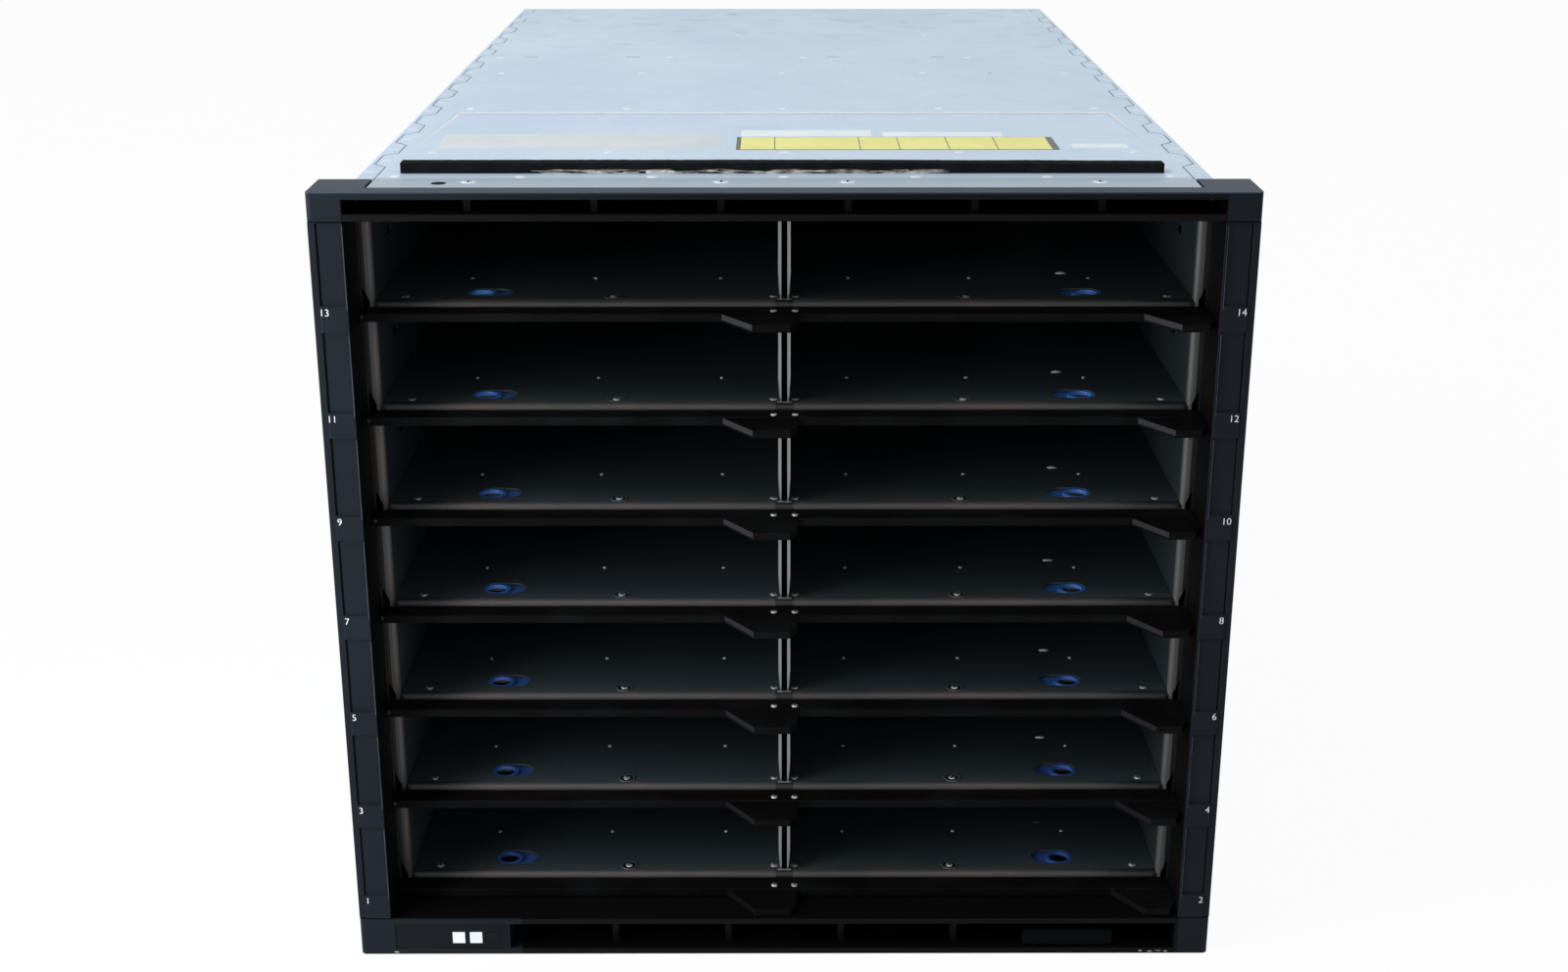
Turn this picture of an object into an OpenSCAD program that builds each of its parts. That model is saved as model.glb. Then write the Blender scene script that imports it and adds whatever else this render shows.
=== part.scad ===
// Blade server chassis: a 10U rack housing for fourteen half-width compute nodes.
// X runs across the front, +Y runs to the rear and +Z is up. The origin is the
// bottom centre of the whole object. Depths are counted back from the bezel's face.

/* [Shell] */
// Width across the moulded bezel, a little over the 19 inch rack width
bezel_w = 484; // [480:0.2:490]
// Width of the mounting flange on each side of the body
flange_w = 17; // [16:0.1:20]
// Depth from the bezel's face to the shell's rear edge
chassis_d = 810; // [760:1:900]
// Thickness of the shell's sheet steel
skin_t = 1.5; // [1:0.1:2]
// Outer bend radius along the shell's top edges
bend_r = 2; // [1.6:0.1:2.8]
// Thickness of the mounting flanges
flange_t = 2; // [1.5:0.1:3]

/* [Bezel] */
// Depth of the bezel in front of the mounting flanges
bezel_d = 34; // [30:0.5:36]
// Height of the bezel's top bar
top_bar_h = 14.7; // [14:0.1:18]
// Height of the bezel's bottom bar
bottom_bar_h = 22.6; // [20:0.1:30]
// Radius of the bars' outer corners
bar_corner_r = 3; // [1:0.5:6]
// How far each column's outer side stands in from the bars' ends
column_inset = 0.2; // [0.1:0.1:1]
// Width of each column, from the bars' ends to the mouth
column_w = 18.2; // [16:0.1:19]
// Wall of the hollow columns
column_wall = 2.5; // [1.5:0.1:3.5]
// Height of the top bar's air slots
top_slot_h = 7.6; // [5:0.1:8]
// Height of the bottom bar's air slots
bottom_slot_h = 15.8; // [8:0.1:16.5]
// Web of the bars under their air slots
slot_sill = 3.5; // [2.5:0.1:4]
// Width of the ribs that divide the air slots
rib_w = 3.6; // [2:0.1:6]
// Distance from rib to rib
rib_pitch = 64.6; // [60:0.1:66]
// How far the ribs stand behind the bezel's face
rib_setback = 8; // [4:0.5:14]
// Depth of the front lip that hides the cover's front edge
lip_d = 13.5; // [8:0.5:20]

/* [Bays] */
// Height from one shelf to the next
bay_pitch = 57.2; // [52:0.1:62]
// Spare height between the bars beyond seven pitches
bay_play = 2.3; // [1.5:0.1:4]
// Height of the first shelf above the bottom bar
floor_lift = 9.2; // [9:0.1:12]
// Space between the shell's side and each bay liner
liner_inset = 6.1; // [4:0.1:8]
// Depth from the bezel's face to the midplane board
bay_d = 505; // [480:1:540]
// Thickness of the bay liners
liner_t = 1.2; // [0.8:0.1:1.6]
// Outer radius of each liner's rolled front edge
liner_roll_r = 2.7; // [2.2:0.1:2.9]
// Width of the ledges that carry the shelves
ledge_w = 4; // [3:0.1:6]

/* [Shelves] */
// Thickness of the shelf plate
shelf_t = 1.5; // [1:0.1:1.6]
// Radius of the shelf's rolled front edge
roll_r = 3.5; // [2.5:0.1:3.5]
// Depth of the shelf's turned-down sides
shelf_side_h = 6; // [5.5:0.1:6.5]
// Height of the black front bar
bar_h = 5; // [4.4:0.1:5.4]
// How far the front bar's top lies below the shelf
bar_drop = 3.5; // [3.2:0.1:3.5]
// How far the front bar stands behind the bezel's face
bar_setback = 24; // [20:0.5:28]
// Reach of the bar's ears ahead of the bar
ear_reach = 22; // [10:0.5:22]
// Width of the slanted side of an ear
ear_slant = 16; // [8:0.5:20]
// Width of an ear's front edge
ear_w = 20; // [12:0.5:26]
// Thickness of the ears
ear_t = 4.2; // [3:0.1:5]
// How far the middle ear reaches past the divider
ear_lap = 3.8; // [2:0.1:8]
// Outer width of the divider between the two bays
divider_w = 6.6; // [6:0.1:9]
// Thickness of the divider's walls
divider_wall = 1.7; // [1:0.1:2]

/* [Latches] */
// Distance of each latch's ring from the bay liner
latch_inset = 54.8; // [40:0.2:70]
// Depth of the ring's centre behind the bezel's face
latch_d = 55; // [52:0.5:70]
// Width of the opening that the ring slides in
latch_slot_w = 16; // [14:0.5:20]
// Diameter of the finger hole
finger_hole = 11.6; // [9:0.1:12]
// Travel of the latch towards the middle
latch_travel = 8; // [5:0.5:10]
// Thickness of the latch's tongue
tongue_t = 2.2; // [1.5:0.1:2.4]
// Width of the latch's tongue
tongue_w = 14.4; // [12.6:0.2:16]

/* [Cover] */
// How far the cover lies below the top of the bezel
cover_recess = 0.6; // [0.4:0.1:1]
// How far the cover's edge stands in from the body's side between the tabs
seam_inset = 11; // [9:0.1:14]
// Flat strip between the ends of the tabs and the bend
tab_margin = 1.5; // [0.1:0.1:3]
// Depth at which the first cover tab starts
tab_start = 72.9; // [60:0.1:90]
// Distance from one cover tab to the next
tab_pitch = 66.8; // [60:0.1:80]
// Length of a tab at its root
tab_len = 42.2; // [30:0.1:50]
// Length that each slanted end of a tab takes up
tab_slant = 8.4; // [0:0.1:12]
// Open joint between the cover and the side panels
seam_gap = 0.6; // [0.3:0.1:1]
// How far the ends of the black seal strip stand in from the cover's edges
seal_margin = 12.2; // [4:0.1:40]
// Depth of the seal strip from front to back
seal_d = 10; // [8:0.5:20]
// Height of the seal strip
seal_h = 5.1; // [2:0.1:6]
// Diameter of the rivet heads
rivet_d = 6; // [4:0.1:8]

/* [Rear modules] */
// Thickness of the midplane board
board_t = 4; // [3:0.1:6]
// Width of a power supply's bay
psu_w = 54; // [48:0.5:58]
// Width of a fan's bay
fan_w = 86; // [84:0.5:92]
// Height of the small fan's bay
small_fan_h = 58; // [50:0.5:70]
// Bore of a large fan
fan_bore = 78; // [70:0.5:78]
// Bore of a small fan
small_bore = 38; // [30:0.5:44]
// Reach of the power supplies' pull grips behind the shell
grip_reach = 38; // [30:1:50]
// Wall of the modules' casings
case_t = 1.2; // [0.8:0.1:2]

/* [Clearances] */
// Running gap round pieces that slide
slide_gap = 0.3; // [0.2:0.05:0.5]
// Gap round a module in its bay
fit_gap = 0.3; // [0.2:0.05:0.5]
// Gap between a fan's blades and its bore
blade_gap = 1.2; // [0.6:0.1:2]

/* [Hidden] */
rows = 7;
module_rows = 3;
fan_rows = 4;
centre_slots = 5;
$fn = 48;

// ---- Places worked out from the sizes above ----
overall_d = chassis_d + grip_reach;
front_y = -overall_d / 2;
column_top = bottom_bar_h + rows * bay_pitch + bay_play;
chassis_h = column_top + top_bar_h;
top_bar_d = bezel_d + flange_t;
bar_end = bezel_w / 2;
column_out = bar_end - column_inset;
mouth_x = bar_end - column_w;
body_x = column_out - flange_w;
inner_x = body_x - skin_t;
liner_x = inner_x - liner_inset;
latch_x = liner_x - latch_inset;
cover_top = chassis_h - cover_recess;
under_cover = cover_top - skin_t;
bend_x = body_x - bend_r;
seam_in = body_x - seam_inset;
seam_out = bend_x - tab_margin - seam_gap / 2;
joggle_z = under_cover - skin_t;
joggle_w = 13;
ceiling_z = column_top + 0.7;
function floor_z(row) = bottom_bar_h + floor_lift + (row - 1) * bay_pitch;

// ---- Ways of drawing: profiles pushed along one axis ----
// A plan drawn in X and depth, pushed up from z0 to z1
module plan(z0, z1) {
    translate([0, front_y, z0]) linear_extrude(z1 - z0) children();
}

// A front elevation drawn in X and Z, pushed back from depth d0 to d1
module elevation(d0, d1) {
    translate([0, front_y + d1, 0]) rotate([90, 0, 0]) linear_extrude(d1 - d0) children();
}

// A side section drawn in depth and Z, pushed across from x0 to x1
module section(x0, x1) {
    translate([x0, front_y, 0]) rotate([90, 0, 90]) linear_extrude(x1 - x0) children();
}

// A flat rectangle between two corners
module rect(a0, a1, b0, b1) {
    translate([a0, b0]) square([a1 - a0, b1 - b0]);
}

// A quarter of a ring in the lower left corner of its circle
module quarter_ring(centre, r_out, r_in) {
    translate(centre) difference() {
        intersection() {
            circle(r_out);
            translate([-r_out, -r_out]) square(r_out);
        }
        circle(r_in);
    }
}

// A slot with round ends, lying along the first axis
module obround(a0, a1, b, width) {
    rect(a0 + width / 2, a1 - width / 2, b - width / 2, b + width / 2);
    translate([a0 + width / 2, b]) circle(width / 2);
    translate([a1 - width / 2, b]) circle(width / 2);
}

// The same piece again on the left, mirrored across the middle
module both_sides() {
    children();
    mirror([1, 0, 0]) children();
}

// ---- Shell ----
pan_ribs = [-150, -90, -30, 30, 90, 150];
pan_rib_w = 16;
pan_rib_h = 2.5;
pan_rib_ends = [60, 480];

// Floor of the shell, stiffened by pressed ribs
module base_pan() color("lightsteelblue") {
    difference() {
        union() {
            elevation(bezel_d, chassis_d) rect(-inner_x, inner_x, 0, skin_t);
            for (x = pan_ribs)
                plan(0, skin_t + pan_rib_h) translate([x, 0]) rotate(90)
                    obround(pan_rib_ends[0], pan_rib_ends[1], 0, pan_rib_w);
        }
        for (x = pan_ribs)
            plan(-1, pan_rib_h) translate([x, 0]) rotate(90)
                obround(pan_rib_ends[0] + skin_t, pan_rib_ends[1] - skin_t, 0,
                        pan_rib_w - 2 * skin_t);
    }
}

// Plan of the cover's tabs on the right, widened by grow on every side. Each tab is a
// trapezium, so slack is what grow becomes along a slanted end
module tab_row(grow) {
    tabs = floor((chassis_d - tab_start) / tab_pitch);
    slack = grow * norm([1, tab_slant / (seam_out - seam_in)]);
    intersection() {
        for (i = [0 : tabs - 1])
            translate([0, tab_start + i * tab_pitch])
                polygon([[0, -slack], [seam_in, -slack], [seam_out + grow, tab_slant - slack],
                         [seam_out + grow, tab_len - tab_slant + slack],
                         [seam_in, tab_len + slack], [0, tab_len + slack]]);
        rect(0, body_x, 0, chassis_d);
    }
}

// Side wall on the right: web, rounded top edge, castellated top and mounting flange
module side_panel() {
    elevation(top_bar_d, chassis_d) {
        rect(inner_x, body_x, 0, cover_top - bend_r);
        translate([bend_x, cover_top - bend_r]) rotate(180)
            quarter_ring([0, 0], bend_r, bend_r - skin_t);
        rect(seam_out + seam_gap / 2, bend_x, under_cover, cover_top);
    }
    plan(under_cover, cover_top) difference() {
        rect(seam_in + seam_gap / 2, bend_x, top_bar_d, chassis_d);
        tab_row(seam_gap / 2);
    }
    plan(0, column_top) rect(inner_x, column_out, bezel_d, top_bar_d);
}

module right_side_panel() color("lightsteelblue") side_panel();
module left_side_panel() color("lightsteelblue") mirror([1, 0, 0]) side_panel();

cover_hole = [-178.5, 28];
cover_hole_d = 8;
slit_d = 505;
slit_l = 10;
slit_w = 2;
slit_xs = [-184, -109, 37, 113];

// Top sheet with its tabs, and the joggled edges that pass under the side panels
module top_cover() color("lightsteelblue") {
    plan(under_cover, cover_top) difference() {
        union() {
            rect(-seam_in + seam_gap / 2, seam_in - seam_gap / 2, lip_d, chassis_d);
            both_sides() intersection() {
                tab_row(-seam_gap / 2);
                rect(0, body_x, 0, chassis_d);
            }
        }
        translate(cover_hole) circle(d = cover_hole_d);
        for (x = slit_xs) obround(x - slit_l / 2, x + slit_l / 2, slit_d, slit_w);
    }
    plan(joggle_z, under_cover)
        both_sides() rect(bend_x - joggle_w, bend_x, top_bar_d, chassis_d);
}

rivet_pitch_x = 97.4;
rivet_first_d = 116;
rivet_pitch_d = 153;
rivet_rows = 3;
rear_rivets = [[-205, 500], [-82, 500], [15, 500], [135, 500], [-35, 628], [112, 628]];
front_rivet_pitch_x = 69;
front_rivet_d = 45;
screw_xs = [-163.5, -32.7, 32.7, 163.5];
screw_d = 31;
head_h = 0.4;

// A low domed head standing on the cover
module cover_head(x, depth) {
    translate([x, front_y + depth, cover_top])
        cylinder(h = head_h, d1 = rivet_d, d2 = rivet_d - 2 * head_h);
}

// Rivets across the cover and the screws along its front edge
module cover_fasteners() color("silver") {
    columns = floor(seam_in / rivet_pitch_x);
    for (column = [-columns : columns], i = [0 : rivet_rows - 1])
        cover_head(column * rivet_pitch_x, rivet_first_d + i * rivet_pitch_d);
    for (place = rear_rivets) cover_head(place[0], place[1]);
    for (column = [-2 : 2]) cover_head(column * front_rivet_pitch_x, front_rivet_d);
    for (x = screw_xs) cover_head(x, screw_d);
}

seal_front = 54;
seal_shift = -1;

// Foam strip that seals the chassis against the rack above
module air_seal_strip() color("dimgray")
    plan(cover_top, cover_top + seal_h)
        rect(seal_shift - seam_in + seal_margin, seal_shift + seam_in - seal_margin,
             seal_front, seal_front + seal_d);

// Roof of the top bays and floor of the upper air duct
module bay_ceiling() color("slategray")
    plan(ceiling_z, ceiling_z + skin_t) rect(-inner_x, inner_x, top_bar_d, bay_d);

// ---- Bay liners ----
liner_front = top_bar_d + 1.3;
ledge_front = 45;
ledge_inset = 8;
ledge_back = bay_d - ledge_inset;
liner_slot = [14, 4];
liner_slot_pitch = 90;
liner_slots = floor((bay_d - 2 * liner_slot[0]) / liner_slot_pitch);
liner_slot_rise = 27;
liner_hole_d = 5;
liner_hole_rise = 38;
liner_notch = [-5, -0.5, 9.3];

// Inner wall on the right with its rolled front edge and one ledge under each shelf
module bay_liner() {
    roll_x = liner_x + liner_roll_r;
    roll_d = liner_front + liner_roll_r;
    difference() {
        plan(skin_t, ceiling_z) {
            rect(liner_x, liner_x + liner_t, roll_d, bay_d);
            quarter_ring([roll_x, roll_d], liner_roll_r, liner_roll_r - liner_t);
            rect(roll_x, inner_x, liner_front, liner_front + liner_t);
            rect(liner_x, inner_x, bay_d - liner_t, bay_d);
        }
        for (row = [1 : rows]) section(liner_x - 1, liner_x + liner_t + 1)
            for (d = [for (i = [1 : liner_slots]) i * liner_slot_pitch]) {
                obround(d - liner_slot[0] / 2, d + liner_slot[0] / 2,
                        floor_z(row) + liner_slot_rise, liner_slot[1]);
                translate([d + liner_slot[0], floor_z(row) + liner_hole_rise])
                    circle(d = liner_hole_d);
            }
        for (row = [1 : rows]) elevation(liner_front - 1, roll_d) polygon([
            [roll_x, floor_z(row) + liner_notch[0]],
            [inner_x + 1, floor_z(row) + liner_notch[0]],
            [inner_x + 1, floor_z(row) + liner_notch[2]],
            [roll_x, floor_z(row) + liner_notch[1]]
        ]);
    }
    for (row = [1 : rows])
        elevation(ledge_front, ledge_back)
            rect(liner_x - ledge_w, liner_x, ledge_z(row) - liner_t, ledge_z(row));
}

function ledge_z(row) = floor_z(row) - shelf_side_h - slide_gap;

module right_bay_liner() color("darkslategray") bay_liner();
module left_bay_liner() color("darkslategray") mirror([1, 0, 0]) bay_liner();

// ---- Bezel ----
// Plan of a bezel bar with rounded front corners
module bar_plan(depth) {
    rect(-bar_end, bar_end, bar_corner_r, depth);
    rect(-bar_end + bar_corner_r, bar_end - bar_corner_r, 0, depth);
    both_sides() translate([bar_end - bar_corner_r, bar_corner_r]) circle(bar_corner_r);
}

// Front view of a row of air slots from x0 to x1, closed where the ribs stand
module slot_ribs(x0, x1, z0, height) {
    ribs = floor(mouth_x / rib_pitch + 0.5);
    intersection() {
        for (i = [-ribs : ribs - 1])
            rect((i + 0.5) * rib_pitch - rib_w / 2, (i + 0.5) * rib_pitch + rib_w / 2,
                 z0, z0 + height);
        rect(x0, x1, z0, z0 + height);
    }
}

// Top bar with its air slots and the notch that takes the cover's front edge
module bezel_top_bar() color("#1b222a") {
    slot_z = column_top + slot_sill;
    difference() {
        plan(column_top, chassis_h) bar_plan(top_bar_d);
        elevation(-1, top_bar_d + 1) rect(-mouth_x, mouth_x, slot_z, slot_z + top_slot_h);
        plan(under_cover, chassis_h + 1)
            rect(-seam_in - seam_gap, seam_in + seam_gap, lip_d, top_bar_d + 1);
    }
    elevation(rib_setback, top_bar_d) slot_ribs(-mouth_x, mouth_x, slot_z, top_slot_h);
}

panel_x0 = -mouth_x + 1.8;
panel_w = 64;
panel_recess = 1.5;
panel_edge = 1.3;
plate_t = 1.2;
window_w = 7;
window_pitch = 9.8;
window_margin = 4.7;
window_drop = 0.9;
last_window_x = panel_x0 + panel_w - window_margin - window_w / 2;
window_xs = [for (i = [2, 1, 0]) last_window_x - i * window_pitch];
window_proud = 0.2;
name_plate_w = 51;
name_plate_margin = 36.8;
name_plate_x = mouth_x - name_plate_margin - name_plate_w / 2;
name_plate_h = 9;
name_plate_rise = 5.4;
name_plate_front = 1.5;

// Front view of the recess that holds the information panel
module panel_outline(inset) {
    rect(panel_x0 + inset, panel_x0 + panel_w - inset, slot_sill + inset,
         slot_sill + bottom_slot_h - inset);
}

// Bottom bar with its air slots and the recess for the information panel
module bezel_bottom_bar() color("#1b222a") {
    slot_x0 = panel_x0 + panel_w + panel_edge;
    difference() {
        plan(0, bottom_bar_h) bar_plan(bezel_d);
        elevation(-1, bezel_d + 1)
            rect(slot_x0, mouth_x - panel_edge, slot_sill, slot_sill + bottom_slot_h);
        elevation(-1, panel_recess) panel_outline(0);
    }
    elevation(rib_setback, bezel_d)
        slot_ribs(slot_x0, mouth_x - panel_edge, slot_sill, bottom_slot_h);
}

// Bare information panel at the left and bare name plate across a rib at the right
module front_plates() color("#10151b") {
    elevation(panel_recess - plate_t, panel_recess) difference() {
        panel_outline(fit_gap / 2);
        for (x = window_xs) window_outline(x, fit_gap / 2);
    }
    elevation(name_plate_front, rib_setback)
        rect(name_plate_x - name_plate_w / 2, name_plate_x + name_plate_w / 2,
             name_plate_rise, name_plate_rise + name_plate_h);
}

// Front view of one square indicator window
module window_outline(x, grow) {
    window_z = slot_sill + bottom_slot_h / 2 - window_drop;
    rect(x - window_w / 2 - grow, x + window_w / 2 + grow,
         window_z - window_w / 2 - grow, window_z + window_w / 2 + grow);
}

module indicator_windows() color("white")
    elevation(panel_recess - plate_t - window_proud, panel_recess)
        for (x = window_xs) window_outline(x, 0);

edge_strip_w = 3.8;
edge_step = 0.8;
pocket_depth = 1.5;
pocket_lip = 1;
number_block_h = 14;
number_block_drop = 8;
groove_w = 0.8;
groove_d = 2.6;
reveal_h = 0.5;
reveal_d = 1.5;

// Bezel column on the right: a hollow moulding with a grooved pocket above each bay
// number, and a reveal where it meets each bar
module bezel_column() {
    step_x = column_out - edge_strip_w;
    shell_front = pocket_depth + column_wall;
    difference() {
        plan(bottom_bar_h, column_top) difference() {
            union() {
                rect(mouth_x, step_x, 0, bezel_d);
                rect(mouth_x, column_out, edge_step, bezel_d);
            }
            rect(mouth_x + column_wall, column_out - column_wall, shell_front, bezel_d + 1);
        }
        for (row = [1 : rows]) {
            block_z = floor_z(row) - number_block_drop;
            elevation(-1, pocket_depth)
                rect(mouth_x + pocket_lip, step_x, block_z + number_block_h, block_z + bay_pitch);
            elevation(-1, groove_d)
                rect(step_x - groove_w, step_x, block_z + number_block_h, block_z + bay_pitch);
        }
        for (z = [bottom_bar_h, column_top - reveal_h])
            elevation(-1, reveal_d) rect(mouth_x - 1, column_out + 1, z, z + reveal_h);
    }
}

module bezel_right_column() color("#1b222a") bezel_column();
module bezel_left_column() color("#1b222a") mirror([1, 0, 0]) bezel_column();

// ---- Shelves ----
shelf_x = liner_x - slide_gap;
bar_back = liner_front - slide_gap;
bar_x = mouth_x - slide_gap;
shelf_inset = 5;
divider_inset = 12;
shelf_back = bay_d - shelf_inset;
divider_back = bay_d - divider_inset;
divider_front = bar_back + 1;
divider_foot = [2, 3];
divider_taper = 1;
taper_h = 14;
taper_d = 12;
web_front = 70;

// Height of a divider's top above its shelf: it passes under the next shelf's bar
divider_h = bay_pitch - bar_drop - bar_h - slide_gap;

// Plan of the opening that a latch slides in, on the right
module latch_slot() {
    obround(latch_x - latch_travel - latch_slot_w / 2 - slide_gap,
            latch_x + latch_slot_w / 2, latch_d, latch_slot_w);
}

// Removable shelf: plate, rolled front, turned-down sides and the centre divider
module shelf(row) color("#2d3a40") translate([0, 0, floor_z(row)]) {
    roll_d = bar_back + roll_r;
    wall_x = divider_w / 2 - divider_wall;
    difference() {
        union() {
            section(-shelf_x, shelf_x) {
                rect(roll_d, shelf_back, -shelf_t, 0);
                mirror([0, 1]) quarter_ring([roll_d, roll_r], roll_r, roll_r - shelf_t);
                rect(bar_back, bar_back + shelf_t, -shelf_side_h, -roll_r);
            }
            both_sides() elevation(bar_back, shelf_back)
                rect(shelf_x - shelf_t, shelf_x, -shelf_side_h, -shelf_t);
        }
        both_sides() plan(-shelf_t - 1, 1) latch_slot();
        both_sides() section(shelf_x - shelf_t - 1, shelf_x + 1)
            rect(latch_d - tongue_w / 2 - slide_gap, latch_d + tongue_w / 2 + slide_gap,
                 -shelf_t - tongue_t - 2 * slide_gap, -shelf_t);
    }
    both_sides() divider_wall_right();
    elevation(web_front, divider_back)
        rect(-wall_x, wall_x, divider_h - divider_wall, divider_h);
}

// Right wall of a divider, whose front edge narrows towards its foot
module divider_wall_right() difference() {
    side_x = divider_w / 2;
    section(side_x - divider_wall, side_x) polygon([
        [divider_front + divider_foot[0], 0],
        [divider_front, divider_foot[1]],
        [divider_front, divider_h],
        [divider_back, divider_h],
        [divider_back, 0]
    ]);
    elevation(divider_front - 1, divider_front + taper_d) polygon([
        [side_x - divider_taper, 0],
        [side_x, taper_h],
        [side_x + 1, taper_h],
        [side_x + 1, -1],
        [side_x - divider_taper, -1]
    ]);
}

ear_chamfer = 4;
end_ear_w = ear_w - 5.7;

// Plan of one ear that ends at right: a slanted left side, a straight front and a small chamfer
module ear_plan(right, front_w) {
    front = bar_setback - ear_reach;
    slant_x = right - ear_chamfer - front_w;
    polygon([
        [slant_x - ear_slant, bar_setback + 1],
        [slant_x - ear_slant, bar_setback],
        [slant_x, front],
        [right - ear_chamfer, front],
        [right, front + 2 * ear_chamfer],
        [right, bar_setback + 1]
    ]);
}

// Black bar along the shelf's front, with an ear at the right of each bay. Its ends are
// narrower at the back, where it passes between the mounting flanges
module shelf_bar(row) color("#14191d") {
    bottom = floor_z(row) - bar_drop - bar_h;
    plan(bottom, bottom + bar_h) {
        rect(-bar_x, bar_x, bar_setback, bezel_d - slide_gap);
        rect(-inner_x + slide_gap, inner_x - slide_gap, bar_setback, bar_back);
    }
    plan(bottom, bottom + ear_t) {
        ear_plan(divider_w / 2 + ear_lap, ear_w);
        ear_plan(bar_x, end_ear_w);
    }
}

// ---- Latches ----
// Sliding latch on the right: a ring in the shelf's opening on a tongue below the plate
module latch(row) {
    tongue_top = floor_z(row) - shelf_t - slide_gap;
    difference() {
        union() {
            plan(tongue_top - tongue_t, floor_z(row) - slide_gap)
                translate([latch_x, latch_d]) circle(d = latch_slot_w - 2 * slide_gap);
            plan(tongue_top - tongue_t, tongue_top) {
                rect(latch_x, shelf_x - slide_gap, latch_d - tongue_w / 2, latch_d + tongue_w / 2);
                obround(latch_x - latch_slot_w - latch_travel, latch_x + latch_slot_w, latch_d,
                        latch_slot_w);
            }
        }
        plan(tongue_top - tongue_t - 1, floor_z(row) + 1)
            translate([latch_x, latch_d]) circle(d = finger_hole);
    }
}

module right_latch(row) color("royalblue") latch(row);
module left_latch(row) color("royalblue") mirror([1, 0, 0]) latch(row);

// ---- Midplane ----
frame_z0 = skin_t;
frame_z1 = joggle_z;
connector = [96, 9, 14];
connector_x = liner_x / 2;
connector_rise = 18;
vent_margin = 4.3;
vent_h = 22;
vent = [(liner_x - connector[0]) / 2 - 2 * vent_margin, vent_h];
vent_shift = (connector[0] + vent[0]) / 2 + vent_margin;

// Upright board that the compute nodes and the rear modules plug into
module midplane_board() color("darkgreen")
    elevation(bay_d, bay_d + board_t) difference() {
        rect(-inner_x, inner_x, frame_z0, frame_z1);
        for (row = [1 : rows])
            both_sides() for (side = [-1, 1])
                cell(connector_x + side * vent_shift, floor_z(row) + connector_rise,
                     vent[0], vent[1]);
    }

// Row connectors, one for each compute node
module midplane_connectors() color("dimgray")
    elevation(bay_d - connector[1], bay_d)
        for (row = [1 : rows])
            both_sides()
                cell(connector_x, floor_z(row) + connector_rise, connector[0], connector[2]);

// ---- Rear bays ----
frame_back = chassis_d - 2;
cell_z0 = frame_z0 + skin_t;
cell_h = frame_z1 - skin_t - cell_z0;
psu_x = inner_x - skin_t - psu_w / 2;
fan_x = psu_x - psu_w / 2 - skin_t - fan_w / 2;
centre_x = fan_x - fan_w / 2 - skin_t;
slot_pitch = (2 * centre_x + skin_t) / centre_slots;
slot_w = slot_pitch - skin_t;
psu_h = (cell_h - (module_rows - 1) * skin_t) / module_rows;
fan_h = (cell_h - small_fan_h - fan_rows * skin_t) / fan_rows;
manager_h = (cell_h - skin_t) / 2;

function psu_z(i) = cell_z0 + psu_h / 2 + i * (psu_h + skin_t);
function fan_z(i) = cell_z0 + fan_h / 2 + i * (fan_h + skin_t);
function small_fan_z() = cell_z0 + cell_h - small_fan_h / 2;
function slot_x(i) = -centre_x + slot_w / 2 + i * slot_pitch;
function manager_z(i) = cell_z0 + manager_h / 2 + i * (manager_h + skin_t);

// A rectangle drawn about its middle
module cell(x, z, w, h) {
    rect(x - w / 2, x + w / 2, z - h / 2, z + h / 2);
}

// Partitions that divide the rear of the chassis into bays
module rear_frame() color("slategray")
    elevation(bay_d + board_t, frame_back) difference() {
        rect(-inner_x, inner_x, frame_z0, frame_z1);
        both_sides() {
            for (i = [0 : module_rows - 1]) cell(psu_x, psu_z(i), psu_w, psu_h);
            for (i = [0 : fan_rows - 1]) cell(fan_x, fan_z(i), fan_w, fan_h);
            cell(fan_x, small_fan_z(), fan_w, small_fan_h);
        }
        for (i = [0 : centre_slots - 2])
            cell(slot_x(i), cell_z0 + cell_h / 2, slot_w, cell_h);
        for (i = [0 : 1]) cell(slot_x(centre_slots - 1), manager_z(i), slot_w, manager_h);
    }

// ---- Rear modules ----
// Puts a module's own drawing into a rear bay. Inside, Y = 0 is the module's rear face
module in_bay(x, z) {
    translate([x, front_y + chassis_d, z]) children();
}

// Front elevation pushed from y0 to y1 in a module's own frame
module face_plate(y0, y1) {
    translate([0, y1, 0]) rotate([90, 0, 0]) linear_extrude(y1 - y0) children();
}

// Sheet casing with an open front end, and the children's outline cut through its face
module casing(w, h, depth) {
    face_plate(-case_t, 0) difference() {
        cell(0, 0, w, h);
        children();
    }
    face_plate(-depth, -case_t) difference() {
        cell(0, 0, w, h);
        cell(0, 0, w - 2 * case_t, h - 2 * case_t);
    }
}

// Column of level slots with round ends. A grille is its count, slot height and pitch
module louvres(grille, w) {
    for (i = [0 : grille[0] - 1])
        obround(-w / 2, w / 2, (i - (grille[0] - 1) / 2) * grille[2], grille[1]);
}

// Upright pull tab with a rounded end. A tab is its thickness, height and reach
module pull_tab(x, z, tab) {
    r = tab[1] / 2;
    translate([x - tab[0] / 2, 0, z]) rotate([90, 0, 90]) linear_extrude(tab[0]) {
        rect(0, tab[2] - r, -r, r);
        translate([tab[2] - r, 0]) circle(r);
    }
}

// Side view of a grip: a plate that narrows to a waist and has rounded far corners
module grip_outline(reach, height, r) {
    difference() {
        union() {
            rect(0, reach - r, -height / 2, height / 2);
            rect(0, reach, -height / 2 + r, height / 2 - r);
            for (side = [-1, 1])
                translate([reach - r, side * (height / 2 - r)]) circle(r);
        }
        for (side = [-1, 1])
            translate([reach / 2, side * (height / 2 + grip_waist_out)]) circle(grip_waist_r);
    }
}

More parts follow.
